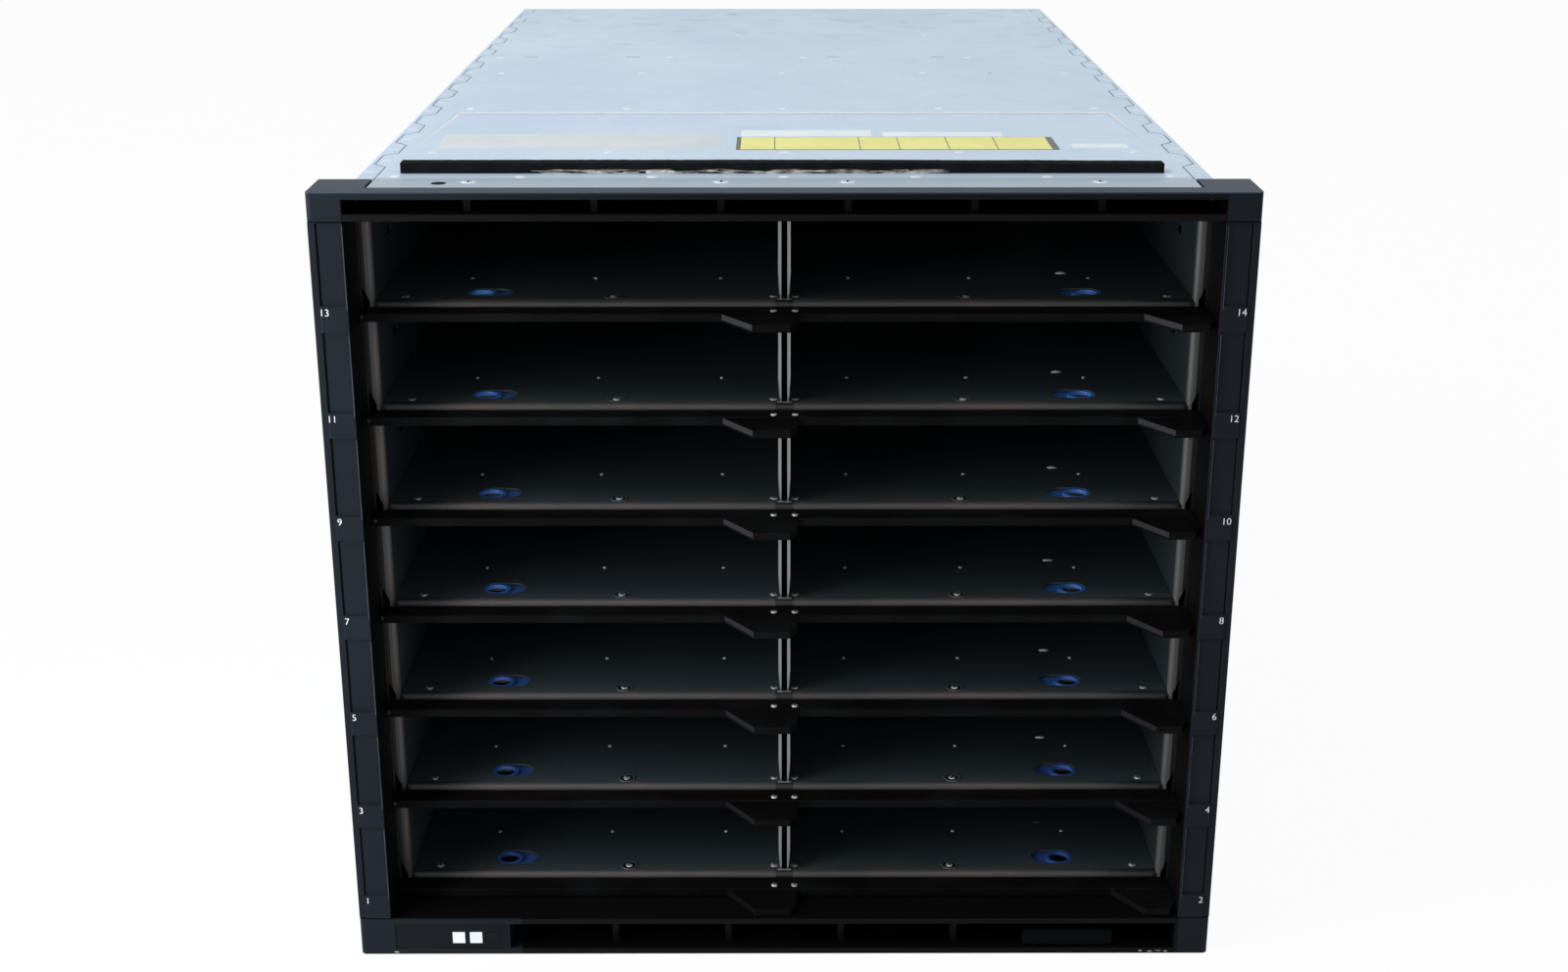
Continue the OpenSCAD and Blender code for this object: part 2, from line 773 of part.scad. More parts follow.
grip_t = 7;
grip_h = 76;
grip_corner_r = 8;
grip_waist_r = 12;
grip_waist_out = 6;
grip_rib_h = 46;
grip_rib_t = 1.2;
grip_rib_w = 2.4;
grip_rib_pitch = 6;
grip_ribs = 3;

// Pull grip that stands behind a module, ribbed on both faces near its far end
module pull_grip(x, z) {
    translate([x - grip_t / 2, 0, z]) rotate([90, 0, 90])
        linear_extrude(grip_t) grip_outline(grip_reach, grip_h, grip_corner_r);
    translate([0, 0, z - grip_rib_h / 2]) linear_extrude(grip_rib_h)
        for (i = [1 : grip_ribs])
            rect(x - grip_t / 2 - grip_rib_t, x + grip_t / 2 + grip_rib_t,
                 grip_reach - i * grip_rib_pitch, grip_reach - i * grip_rib_pitch + grip_rib_w);
}

psu_depth = 260;
inlet = [30, 24];
inlet_z = -46;
inlet_depth = 18;
inlet_wall = 2;
inlet_blade = [2, 8];
inlet_blade_pitch = 7;
inlet_blade_end = 4;
psu_grip_margin = 8;
psu_grip_z = 20;
psu_grille = [10, 3.4, 6.6];
psu_grille_z = 20;
psu_grille_margin = 6;

// Power supply: casing, exhaust louvres, mains inlet and pull grip
module power_supply() {
    grip_x = -psu_w / 2 + psu_grip_margin;
    grille_x0 = grip_x + grip_t / 2 + psu_grille_margin;
    grille_w = psu_w / 2 - psu_grille_margin - grille_x0;
    casing(psu_w - 2 * fit_gap, psu_h - 2 * fit_gap, psu_depth) {
        translate([grille_x0 + grille_w / 2, psu_grille_z]) louvres(psu_grille, grille_w);
        cell(0, inlet_z, inlet[0], inlet[1]);
    }
    face_plate(-inlet_depth, 0) difference() {
        cell(0, inlet_z, inlet[0], inlet[1]);
        cell(0, inlet_z, inlet[0] - 2 * inlet_wall, inlet[1] - 2 * inlet_wall);
    }
    face_plate(-inlet_depth, -inlet_depth + inlet_wall) cell(0, inlet_z, inlet[0], inlet[1]);
    face_plate(-inlet_depth, -inlet_blade_end)
        for (i = [-1 : 1]) cell(i * inlet_blade_pitch, inlet_z, inlet_blade[0], inlet_blade[1]);
    pull_grip(grip_x, psu_grip_z);
}

module power_supplies() color("gray")
    for (side = [-1, 1], i = [0 : module_rows - 1])
        in_bay(side * psu_x, psu_z(i)) power_supply();

fan_depth = 70;
small_fan_depth = 50;
grille_t = 3;
grille_ring_w = 1.6;
hub_share = 0.36;
shaft_d = 4;
rotor_depth = 26;
fan_tab_inset = 10;
fan_tab = [4, 12, 16];

// Rings and spokes that guard a fan's bore and carry its shaft
module fan_guard(bore) {
    hub = bore * hub_share;
    circle(d = hub);
    for (f = [0.55, 0.78])
        difference() {
            circle(d = bore * f + grille_ring_w);
            circle(d = bore * f - grille_ring_w);
        }
    for (a = [0 : 45 : 135]) rotate(a) square([bore + 2, grille_ring_w], center = true);
}

// Fan casing: a block with a round bore, its rear guard, the shaft and a pull tab
module fan_housing(w, h, bore, depth) {
    face_plate(-depth, 0) difference() {
        cell(0, 0, w, h);
        circle(d = bore);
    }
    face_plate(-grille_t, 0) intersection() {
        fan_guard(bore);
        circle(d = bore + 1);
    }
    rotate([90, 0, 0]) cylinder(h = grille_t + slide_gap + rotor_depth, d = shaft_d);
    pull_tab(w / 2 - fan_tab_inset, h / 2 - fan_tab_inset, fan_tab);
}

module fan_housings() color("#23272b")
    for (side = [-1, 1]) {
        for (i = [0 : fan_rows - 1])
            in_bay(side * fan_x, fan_z(i))
                fan_housing(fan_w - 2 * fit_gap, fan_h - 2 * fit_gap, fan_bore, fan_depth);
        in_bay(side * fan_x, small_fan_z())
            fan_housing(fan_w - 2 * fit_gap, small_fan_h - 2 * fit_gap, small_bore,
                        small_fan_depth);
    }

blades = 7;
blade_curve_r = 26;
blade_t = 1.6;
shaft_fit = 0.05;

// Fan wheel: a hub and curved blades that end inside the bore
module fan_wheel(bore) {
    hub = bore * hub_share;
    tip = bore / 2 - blade_gap;
    root = hub / 2 - 3 * blade_t;
    translate([0, -grille_t - slide_gap - rotor_depth, 0]) difference() {
        union() {
            rotate([-90, 0, 0]) cylinder(h = rotor_depth, d = hub);
            for (a = [0 : blades - 1])
                rotate([0, a * 360 / blades, 0]) intersection() {
                    rotate([-90, 0, 0]) cylinder(h = rotor_depth, r = tip);
                    translate([0, 0, root]) linear_extrude(bore / 2)
                        blade_section(blade_curve_r * bore / fan_bore);
                }
        }
        translate([0, -1, 0]) rotate([-90, 0, 0])
            cylinder(h = rotor_depth + 2, r = shaft_d / 2 + shaft_fit);
    }
}

// Cross-section of a blade: a shallow arc between two edges
module blade_section(r) {
    edge = rotor_depth / 10;
    intersection() {
        translate([r * 0.8, edge]) difference() {
            circle(r + blade_t);
            circle(r);
        }
        rect(-r, r / 2, edge, rotor_depth - edge);
    }
}

// Fan wheels 1 to 5 stand on the left from the bottom up, and 6 to 10 on the right
module fan_rotor(number) color("#101214") {
    side = number <= 5 ? -1 : 1;
    i = (number - 1) % 5;
    if (i < fan_rows) in_bay(side * fan_x, fan_z(i)) fan_wheel(fan_bore);
    else in_bay(side * fan_x, small_fan_z()) fan_wheel(small_bore);
}

filler_depth = 120;
filler_grille = [14, 4, 24];
module_tab = [5, 12, 14];
module_tab_inset = 12;
slot_margin = 5;

// Blank modules in the four switch bays
module io_fillers() color("#23272b")
    for (i = [0 : centre_slots - 2])
        in_bay(slot_x(i), cell_z0 + cell_h / 2) {
            casing(slot_w - 2 * fit_gap, cell_h - 2 * fit_gap, filler_depth)
                louvres(filler_grille, slot_w - 2 * slot_margin);
            for (side = [-1, 1])
                pull_tab(0, side * (cell_h / 2 - module_tab_inset), module_tab);
        }

manager_depth = 220;
port = [16, 13];
port_zs = [-70, -50];
manager_grille = [9, 3.4, 8];
manager_grille_z = 20;

// Two management modules with network ports, vent slots and pull tabs
module management_modules() color("gray")
    for (i = [0 : 1])
        in_bay(slot_x(centre_slots - 1), manager_z(i)) {
            casing(slot_w - 2 * fit_gap, manager_h - 2 * fit_gap, manager_depth) {
                for (z = port_zs) cell(0, z, port[0], port[1]);
                translate([0, manager_grille_z])
                    louvres(manager_grille, slot_w - 2 * slot_margin);
            }
            pull_tab(0, -manager_h / 2 + module_tab_inset, module_tab);
        }

base_pan();
left_side_panel();
right_side_panel();
top_cover();
cover_fasteners();
air_seal_strip();
bay_ceiling();
left_bay_liner();
right_bay_liner();
bezel_top_bar();
bezel_bottom_bar();
bezel_left_column();
bezel_right_column();
front_plates();
indicator_windows();
midplane_board();
midplane_connectors();
rear_frame();
power_supplies();
fan_housings();
io_fillers();
management_modules();
shelf(1);  // shelf_1
shelf(2);  // shelf_2
shelf(3);  // shelf_3
shelf(4);  // shelf_4
shelf(5);  // shelf_5
shelf(6);  // shelf_6
shelf(7);  // shelf_7
shelf_bar(1);  // shelf_bar_1
shelf_bar(2);  // shelf_bar_2
shelf_bar(3);  // shelf_bar_3
shelf_bar(4);  // shelf_bar_4
shelf_bar(5);  // shelf_bar_5
shelf_bar(6);  // shelf_bar_6
shelf_bar(7);  // shelf_bar_7
left_latch(1);  // left_latch_1
left_latch(2);  // left_latch_2
left_latch(3);  // left_latch_3
left_latch(4);  // left_latch_4
left_latch(5);  // left_latch_5
left_latch(6);  // left_latch_6
left_latch(7);  // left_latch_7
right_latch(1);  // right_latch_1
right_latch(2);  // right_latch_2
right_latch(3);  // right_latch_3
right_latch(4);  // right_latch_4
right_latch(5);  // right_latch_5
right_latch(6);  // right_latch_6
right_latch(7);  // right_latch_7
fan_rotor(1);  // fan_rotor_1
fan_rotor(2);  // fan_rotor_2
fan_rotor(3);  // fan_rotor_3
fan_rotor(4);  // fan_rotor_4
fan_rotor(5);  // fan_rotor_5
fan_rotor(6);  // fan_rotor_6
fan_rotor(7);  // fan_rotor_7
fan_rotor(8);  // fan_rotor_8
fan_rotor(9);  // fan_rotor_9
fan_rotor(10);  // fan_rotor_10
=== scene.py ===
# %% [markdown]
# # Dressing a blade server chassis
# A blade chassis is a steel box for a rack. Its front is a black moulded bezel round fourteen
# open bays, and each pair of bays shares a shelf that pulls out once two blue latches are slid
# inwards. The solids are already made and stay where they are. This lesson gives them finishes
# and adds what is too small to be a solid: screws, printed numbers, labels and torn foam.

import math
import random

import bmesh
import bpy
from mathutils import Matrix, Vector, noise


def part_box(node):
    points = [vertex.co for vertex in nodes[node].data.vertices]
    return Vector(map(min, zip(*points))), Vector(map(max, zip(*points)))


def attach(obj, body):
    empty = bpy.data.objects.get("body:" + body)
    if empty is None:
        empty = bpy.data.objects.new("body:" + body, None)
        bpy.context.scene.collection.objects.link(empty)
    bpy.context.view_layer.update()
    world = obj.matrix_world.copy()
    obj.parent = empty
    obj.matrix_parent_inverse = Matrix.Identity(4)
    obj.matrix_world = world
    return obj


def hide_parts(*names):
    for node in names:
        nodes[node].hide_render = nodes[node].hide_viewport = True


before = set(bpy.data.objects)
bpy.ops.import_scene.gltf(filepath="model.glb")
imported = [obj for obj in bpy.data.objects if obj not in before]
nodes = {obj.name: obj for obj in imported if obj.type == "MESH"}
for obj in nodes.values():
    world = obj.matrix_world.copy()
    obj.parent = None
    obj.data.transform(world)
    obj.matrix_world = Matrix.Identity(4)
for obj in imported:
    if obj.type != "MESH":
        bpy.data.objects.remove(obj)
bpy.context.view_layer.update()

# %% [markdown]
# Places come from the solids' own boxes: the bezel's top bar gives the front plane, the cover
# gives the top sheet, and each shelf bar gives the height of its floor. Depths are counted back
# from the bezel's face in millimetres, as a tape measure would.

# %% Find the main planes
MM = 0.001
ROWS = range(1, 8)
SIDES = {"left": -1, "right": 1}
FLOOR_ABOVE_BAR = 3.5 * MM

bar_low, bar_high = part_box("bezel_top_bar")
front, lintel_bottom, lintel_top = bar_low.y, bar_low.z, bar_high.z
_, rear, cover_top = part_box("top_cover")[1]
body_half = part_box("base_pan")[1].x + 1.5 * MM
mouth_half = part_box("bezel_right_column")[0].x
column_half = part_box("bezel_right_column")[1].x
sill_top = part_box("bezel_bottom_bar")[1].z


def behind(depth):
    """The Y of a depth in millimetres behind the bezel's face."""
    return front + depth * MM


def bar_top(row):
    """Height of the upper face of a shelf's black front bar."""
    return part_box(f"shelf_bar_{row}")[1].z


def floor_height(row):
    """Height of a shelf's upper face."""
    return bar_top(row) + FLOOR_ABOVE_BAR


ROW_PITCH = floor_height(2) - floor_height(1)
print(f"front {front:.3f} m, cover top {cover_top:.4f} m, lowest floor {floor_height(1):.4f} m")

# %% [markdown]
# ## Camera
# The view looks down at the front from a little over the top edge, so both the bays and the
# cover show. A camera's tilt is easiest to set from the direction that it looks along.

# %% Place the camera
EYE = Vector((-0.0028, behind(-1045.6), 0.6487))
TILT_DOWN = 0.336
TURN_RIGHT = 0.0024


def hang(name, data, spot, along):
    """Hang a camera or a lamp at a spot, looking along a direction."""
    hung = bpy.data.objects.new(name, data)
    hung.location = spot
    hung.rotation_euler = Vector(along).to_track_quat("-Z", "Y").to_euler()
    bpy.context.scene.collection.objects.link(hung)
    return hung


camera_data = bpy.data.cameras.new("camera")
camera_data.lens = 48.156
camera_data.sensor_width = 36
ahead = math.cos(TILT_DOWN)
bpy.context.scene.camera = hang("camera", camera_data, EYE, (
    math.sin(TURN_RIGHT) * ahead, math.cos(TURN_RIGHT) * ahead, -math.sin(TILT_DOWN)))
print(f"camera {front - EYE.y:.3f} m ahead, tilted down {math.degrees(TILT_DOWN):.1f} degrees")

# %% [markdown]
# ## Shader sums
# A finish is easier to read as a sum than as a web of nodes. `Wire` stands for one output of a
# node and turns `+`, `-`, `*`, `%`, `<` and `>` into Math nodes, and `|` keeps the greater of two
# masks. `Web` owns a node tree and has one method that adds any other node, which sets the
# node's settings first and its inputs next. `Finish` is the web of one material.

# %% The wire class
def operators(operation):
    """An operator and its reflected form, each of which adds one Math node."""

    def plain(self, other):
        return self.web.node("ShaderNodeMath", {"operation": operation}, {0: self, 1: other})

    def reflected(self, other):
        return self.web.node("ShaderNodeMath", {"operation": operation}, {0: other, 1: self})

    return plain, reflected


class Wire:
    """One output of a shader node, which can take part in a sum."""

    def __init__(self, web, socket):
        self.web = web
        self.socket = socket

    __add__, __radd__ = operators("ADD")
    __sub__, __rsub__ = operators("SUBTRACT")
    __mul__, __rmul__ = operators("MULTIPLY")
    __mod__, __rmod__ = operators("FLOORED_MODULO")
    __or__, __ror__ = operators("MAXIMUM")
    __gt__, __lt__ = operators("GREATER_THAN")  # a < b is the same as b > a

    def __abs__(self):
        return self.web.node("ShaderNodeMath", {"operation": "ABSOLUTE"}, {0: self})


print("wires add, subtract, multiply, wrap round, join and compare")


# %% The web class
class Web:
    """A node tree with one method that adds any node."""

    def __init__(self, tree):
        self.tree = tree

    def node(self, kind, settings=None, inputs=None, output=0):
        made = self.tree.nodes.new(kind)
        for name, value in (settings or {}).items():
            setattr(made, name, value)
        for name, value in (inputs or {}).items():
            self.feed(made.inputs[name], value)
        return Wire(self, made.outputs[output])

    def feed(self, socket, value):
        if isinstance(value, Wire):
            self.tree.links.new(value.socket, socket)
        else:
            socket.default_value = value


def colour(red, green, blue):
    """A screen colour from 0 to 255, as the linear values that shaders use."""
    parts = [c / 255 for c in (red, green, blue)]
    return tuple(c / 12.92 if c <= 0.04045 else ((c + 0.055) / 1.055) ** 2.4 for c in parts) + (1,)


print("a mid grey is", [round(c, 3) for c in colour(128, 128, 128)])


# %% The finish class
class Finish(Web):
    """A material with helpers for the nodes that its pattern needs."""

    def __init__(self, name, **plain):
        self.material = bpy.data.materials.new(name)
        self.material.use_nodes = True
        super().__init__(self.material.node_tree)
        self.shader = self.tree.nodes["Principled BSDF"]
        self.paint(**plain)

    def paint(self, **values):
        for name, value in values.items():
            self.feed(self.shader.inputs[name.replace("_", " ")], value)
        return self.material

    def place(self):
        return self.node("ShaderNodeTexCoord", output="Object")

    def axis(self, name):
        return self.node("ShaderNodeSeparateXYZ", None, {0: self.place()}, name)

    def noise(self, scale, detail=2.0, stretch=(1, 1, 1)):
        spot = self.node("ShaderNodeVectorMath", {"operation": "MULTIPLY"},
                         {0: self.place(), 1: stretch})
        return self.node("ShaderNodeTexNoise", None,
                         {"Vector": spot, "Scale": scale, "Detail": detail})

    def blend(self, first, second, factor):
        """Mix two colours, each a wire or a plain (red, green, blue) from 0 to 255."""
        first, second = (end if isinstance(end, Wire) else colour(*end)
                         for end in (first, second))
        return self.node("ShaderNodeMix", {"data_type": "RGBA"},
                         {0: factor, 6: first, 7: second}, 2)

    def ease(self, value, low, high, most=1.0):
        """Rise smoothly from 0 where a value is low to the most where it is high."""
        return self.node("ShaderNodeMapRange", {"interpolation_type": "SMOOTHSTEP"},
                         {"Value": value, "From Min": low, "From Max": high, "To Max": most})

    def fade(self, first, second, value, low, high, most=1.0):
        """Mix in the second colour as a value rises from low to high."""
        return self.blend(first, second, self.ease(value, low, high, most))

    def surface(self, shade, roughness, grain, depth):
        """Paint the shade and roughness over a fine bump that scatters the highlights."""
        bump = self.node("ShaderNodeBump", None, {"Height": self.noise(grain, 2),
                                                  "Strength": depth, "Distance": GRAIN_DEPTH})
        return self.paint(Base_Color=shade, Roughness=roughness, Normal=bump)


GRAIN_DEPTH = 0.2 * MM
print("shader helpers ready")

# %% [markdown]
# ## Zinc-plated sheet
# The cover and sides are bare plated steel. It isn't a mirror: the plating scatters light, has
# a cold blue cast and is faintly clouded. Broad noise gives the clouds, noise stretched along
# the depth gives rolling lines, and small dark specks and grey smudges come from handling. The
# smudges gather near the rear edge, so a ramp on depth decides how many show.

# %% Make the zinc finish
def zinc_finish():
    finish = Finish("zinc_sheet", Metallic=0.15)
    depth = finish.axis("Y")
    clouds = finish.noise(9, 4, (1, 0.5, 1))
    rolled = finish.noise(70, 3, (8, 0.2, 8))
    smudges = finish.ease(finish.noise(46, 6, (0.8, 0.9, 1)), 0.5, 0.82)
    specks = finish.ease(finish.noise(260, 3), 0.72, 0.78)
    handled = finish.ease(depth, rear - 0.35, rear)
    tone = finish.fade((201, 222, 242), (193, 214, 235), clouds, 0.3, 0.7)
    tone = finish.fade(tone, (183, 204, 227), rolled, 0.55, 0.8, 0.25)
    tone = finish.blend(tone, (158, 172, 188), smudges * (0.12 + handled * 0.42))
    tone = finish.blend(tone, (96, 104, 114), specks * (0.2 + handled * 0.4))
    # Painted shade: the strip of cover in front of the foam is painted darker, as the shade that
    # the foam casts.
    foam_shade = 1 - finish.ease(depth + (clouds - 0.5) * 4 * MM, behind(38), behind(46))
    tone = finish.blend(tone, (156, 171, 182), foam_shade * (0.55 + clouds * 0.6))
    return finish.surface(tone, 0.4 + clouds * 0.12 + smudges * 0.1, 900, 0.04)


ZINC = zinc_finish()
print("made", ZINC.name)

# %% [markdown]
# The side panels reach forward between the bezel's columns as a narrow flange. Inside the mouth
# that flange and the panel behind it are painted near black as painted shade, so nothing bright
# shows beside the bays. Masks on depth, height and the distance from the middle pick them out. The
# folded top edge is painted as bright as the cover, and the upright wall below it is painted a
# darker grey as painted shade.

# %% Make the side panel finish
def side_panel_finish():
    finish = Finish("side_zinc", Metallic=0.15)
    width = abs(finish.axis("X"))
    painted_inner_shade = ((finish.axis("Y") < behind(60)) * (width < body_half - 0.4 * MM)
                 * (finish.axis("Z") < lintel_bottom))
    clouds = finish.noise(8, 4, (1, 0.5, 1))
    rolled = finish.noise(60, 3, (8, 0.2, 8))
    smudges = finish.ease(finish.noise(30, 5, (0.6, 0.6, 1)), 0.58, 0.72)

    def sheet(bright, clouded, streaked, share):
        return finish.fade(finish.fade(bright, clouded, clouds, 0.3, 0.7), streaked,
                           rolled, 0.5, 0.8, share)

    flange = sheet((202, 224, 244), (189, 210, 231), (182, 202, 223), 0.35)
    # Painted shade: the upright wall is a darker copy of the sheet than the top edge.
    wall = sheet((170, 186, 201), (154, 170, 186), (142, 157, 172), 0.4)
    wall = finish.blend(wall, (124, 138, 152), smudges * 0.3)
    tone = finish.blend(flange, wall, finish.axis("Z") < cover_top - 3 * MM)
    # Painted shade: the flange and panel inside the mouth are painted near black.
    tone = finish.blend(tone, (6, 6, 7), painted_inner_shade)
    return finish.surface(tone, 0.4 + clouds * 0.14, 900, 0.04)


SIDE_ZINC = side_panel_finish()
print("made", SIDE_ZINC.name)

# %% [markdown]
# ## Black moulding
# The bezel is a satin blue-black plastic with a fine spark-eroded grain. The grain is only a bump,
# but it decides how broad the highlights are. The vent inserts in the top and bottom bars are a
# plain untinted black, which is partly their own colour and partly painted shade deep in the
# slots. Everything that faces into the mouth is painted the same black as painted shade, so that
# no frame shows round the bays. The band over the upper vent fades to that black from left to
# right, as a painted shade that falls off away from the light at the left. Dust lies on the
# bezel's upper face and turns it a paler blue.

# %% Make the bezel finish
VENT_FROM = -150 * MM
VENT_TOP = lintel_bottom + 11.1 * MM
SKIN = 1.0 * MM
BAND = 2.6 * MM
BAND_FROM = -190 * MM
BAND_TO = -10 * MM


def moulded(finish, shade, clouds, roughness=0.42):
    """Every moulding is a clouded satin with a fine grain."""
    return finish.surface(shade, roughness + clouds * 0.14, 1500, 0.12)


def bezel_finish():
    finish = Finish("bezel_black", Specular_IOR_Level=0.1)
    across, depth, height = finish.axis("X"), finish.axis("Y"), finish.axis("Z")
    clouds = finish.noise(12, 3)
    specks = finish.ease(finish.noise(420, 3), 0.66, 0.8)
    in_mouth = abs(across) < mouth_half + 0.6 * MM
    upper_vent = (height > lintel_bottom - SKIN) * (height < VENT_TOP)
    lower_vent = (height < sill_top + SKIN) * (across > VENT_FROM)
    inward = depth > front + SKIN
    below_top = height < lintel_top - 0.6 * MM
    inner_face_shade = inward * below_top * (height > sill_top - SKIN)
    band_shade = ((height > VENT_TOP - SKIN) * (height < VENT_TOP + BAND) * (depth < front + SKIN)
                 * finish.ease(across, BAND_FROM, BAND_TO))
    # Painted shade: the inner faces and the band over the vent are painted near black; the vents
    # are black inserts with painted shade in their slots.
    vent_black_and_shade = in_mouth * (upper_vent | lower_vent | inner_face_shade | band_shade * 0.85)
    shade = finish.fade((18, 24, 31), (38, 46, 54), clouds, 0.3, 0.8, 0.2)
    shade = finish.blend(shade, (58, 66, 74), specks * 0.2)
    shade = finish.blend(shade, (40, 53, 67), 1 - below_top)
    return moulded(finish, finish.blend(shade, (5, 5, 6), vent_black_and_shade), clouds)


def module_black_finish():
    finish = Finish("module_black", Specular_IOR_Level=0.4)
    clouds = finish.noise(12, 3)
    specks = finish.ease(finish.noise(420, 3), 0.66, 0.8)
    dust = (44, 46, 48)
    shade = finish.fade((20, 22, 24), dust, clouds, 0.3, 0.8, 0.2)
    return moulded(finish, finish.blend(shade, dust, specks * 0.4), clouds)


def plate_finish():
    """The plate on the left is a grey panel, and the one on the right is nearly black."""
    finish = Finish("plate_black", Specular_IOR_Level=0.05)
    clouds = finish.noise(12, 3)
    panel = finish.fade((17, 21, 26), (26, 31, 37), clouds, 0.3, 0.8)
    shade = finish.blend(panel, (3, 4, 5), finish.axis("X") > 0)
    return moulded(finish, shade, clouds, 0.36)


BEZEL_BLACK = bezel_finish()
MODULE_BLACK = module_black_finish()
PLATE_BLACK = plate_finish()
print("made", BEZEL_BLACK.name, MODULE_BLACK.name, PLATE_BLACK.name)

# %% [markdown]
# The shelf bars are dull black. Only the slanted side of each ear, which the levers of a node bear
# on, is painted grey as a painted highlight that is stronger on the upper rows.
# The slant is the only face that looks to the left and forwards, so its normal picks it out.

# %% Make the bar finish
def bar_finish():
    finish = Finish("bar_black", Specular_IOR_Level=0.05)
    clouds = finish.noise(30, 3)
    facing = finish.node("ShaderNodeTexCoord", output="Normal")
    sideways = finish.node("ShaderNodeSeparateXYZ", None, {0: facing}, "X")
    above_foot = (finish.axis("Z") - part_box("shelf_bar_1")[0].z) % ROW_PITCH
    # Painted highlight: the slant that faces the light at the left is painted grey, more on the
    # higher rows.
    worn_and_highlight = ((sideways < -0.5) * (sideways > -0.97) * (finish.axis("Y") < behind(26))
              * (above_foot > 1.2 * MM))
    highlight_by_height = finish.ease(finish.axis("Z"), -0.02, 0.4)
    highlight_grey = finish.blend((13, 13, 14), (50, 50, 53), highlight_by_height)
    shade = finish.fade((6, 6, 7), (14, 15, 16), clouds, 0.35, 0.8)
    shade = finish.blend(shade, highlight_grey, worn_and_highlight * (0.75 + clouds * 0.4))
    return moulded(finish, shade, clouds, 0.5)


BAR_BLACK = bar_finish()
print("made", BAR_BLACK.name)

# %% [markdown]
# ## Bay steel
# Shelves, dividers and liners are dark coated sheet. Their rolled front edges, which a node is
# pushed against, are painted a warm grey that is partly wear and partly a painted highlight where
# the rolls catch the light, and the dividers' edges are the palest. A mask on depth finds those
# edges, and noise breaks it up so that the band isn't a ruled line.

# %% Make the bay steel
EDGE_BAND_FROM = 39.5
EDGE_BAND_TO = 41.5
DIVIDER_REACH = 4 * MM
COATED = (49, 59, 65)
CHALKY = (64, 76, 82)
SCRATCHED = (112, 120, 124)


def bay_steel(name):
    """Start a dark coated steel; gives the finish, its shade, its clouds and its front edge."""
    finish = Finish(name, Metallic=0.1)
    ragged = (finish.noise(160, 3) - 0.5) * 1.2 * MM
    edge = 1 - finish.ease(finish.axis("Y") + ragged, behind(EDGE_BAND_FROM), behind(EDGE_BAND_TO))
    clouds = finish.noise(9, 4, (1, 0.5, 1))
    scratches = finish.ease(finish.noise(130, 3, (8, 0.3, 1)), 0.64, 0.74)
    shade = finish.fade(COATED, CHALKY, clouds, 0.4, 0.8, 0.4)
    shade = finish.blend(shade, SCRATCHED, scratches * 0.15)
    return finish, shade, clouds, edge


def shelf_finish():
    finish, shade, clouds, edge = bay_steel("shelf_steel")
    width = abs(finish.axis("X"))
    patchy = finish.ease(finish.noise(14, 3, (1, 0, 0)), 0.3, 0.7)
    worn_and_highlight = finish.blend((45, 47, 46), (64, 58, 56), patchy)
    # Painted shade: the edge band darkens towards the columns and is near black beside the
    # divider; the divider's own edge is painted palest, partly wear and partly painted highlight.
    worn_and_highlight = finish.fade(worn_and_highlight, (20, 21, 21), width, 0.168, 0.206)
    worn_and_highlight = finish.blend(worn_and_highlight, (9, 9, 10), width < DIVIDER_REACH + 1 * MM)
    above_floor = (finish.axis("Z") - floor_height(1) + 0.2 * MM) % ROW_PITCH
    divider = (width < DIVIDER_REACH) * (above_floor < ROW_PITCH - 6 * MM)
    worn_and_highlight = finish.blend(worn_and_highlight, (141, 142, 142), divider)
    shade = finish.blend(shade, worn_and_highlight, edge)
    return finish.surface(shade, 0.36 + clouds * 0.2, 700, 0.05)


def liner_finish():
    finish, shade, clouds, edge = bay_steel("liner_steel")
    across, height = finish.axis("X"), finish.axis("Z")
    # Painted shade: the left edges darken lower down, the right edges are a flat grey, the flange
    # outside the strip is painted near black and the right-hand wall darker.
    edge_shade_by_height = finish.fade((66, 64, 62), (100, 97, 95), height, 0.0, 0.34)
    worn_and_highlight = finish.blend(edge_shade_by_height, (86, 85, 83), across > 0)
    worn_and_highlight = finish.blend(worn_and_highlight, (8, 8, 9), abs(across) > STRIP_OUT)
    shade = finish.blend(shade, (32, 40, 45), (across > 0) * 0.7)
    shade = finish.blend(shade, worn_and_highlight, edge)
    return finish.surface(shade, 0.36 + clouds * 0.2, 700, 0.05)


STRIP_OUT = mouth_half - 2.2 * MM
SHELF_STEEL = shelf_finish()
LINER_STEEL = liner_finish()
print("made", SHELF_STEEL.name, LINER_STEEL.name)

# %% [markdown]
# ## Small finishes
# The rest are simple: foam, a circuit board, screws, chipped edges, painted edge highlights and
# shade, and lamps. Each still has its own noise, because one flat value reads as paint on glass.

# %% Make the small finishes
def speckled(name, tone, other, scale, roughness, metallic=0.0, grain=0.1, gloss=0.5):
    finish = Finish(name, Metallic=metallic, Specular_IOR_Level=gloss)
    clouds = finish.noise(scale, 4)
    shade = finish.fade(tone, other, clouds, 0.35, 0.75)
    return finish.surface(shade, roughness + clouds * 0.12, scale * 40, grain)


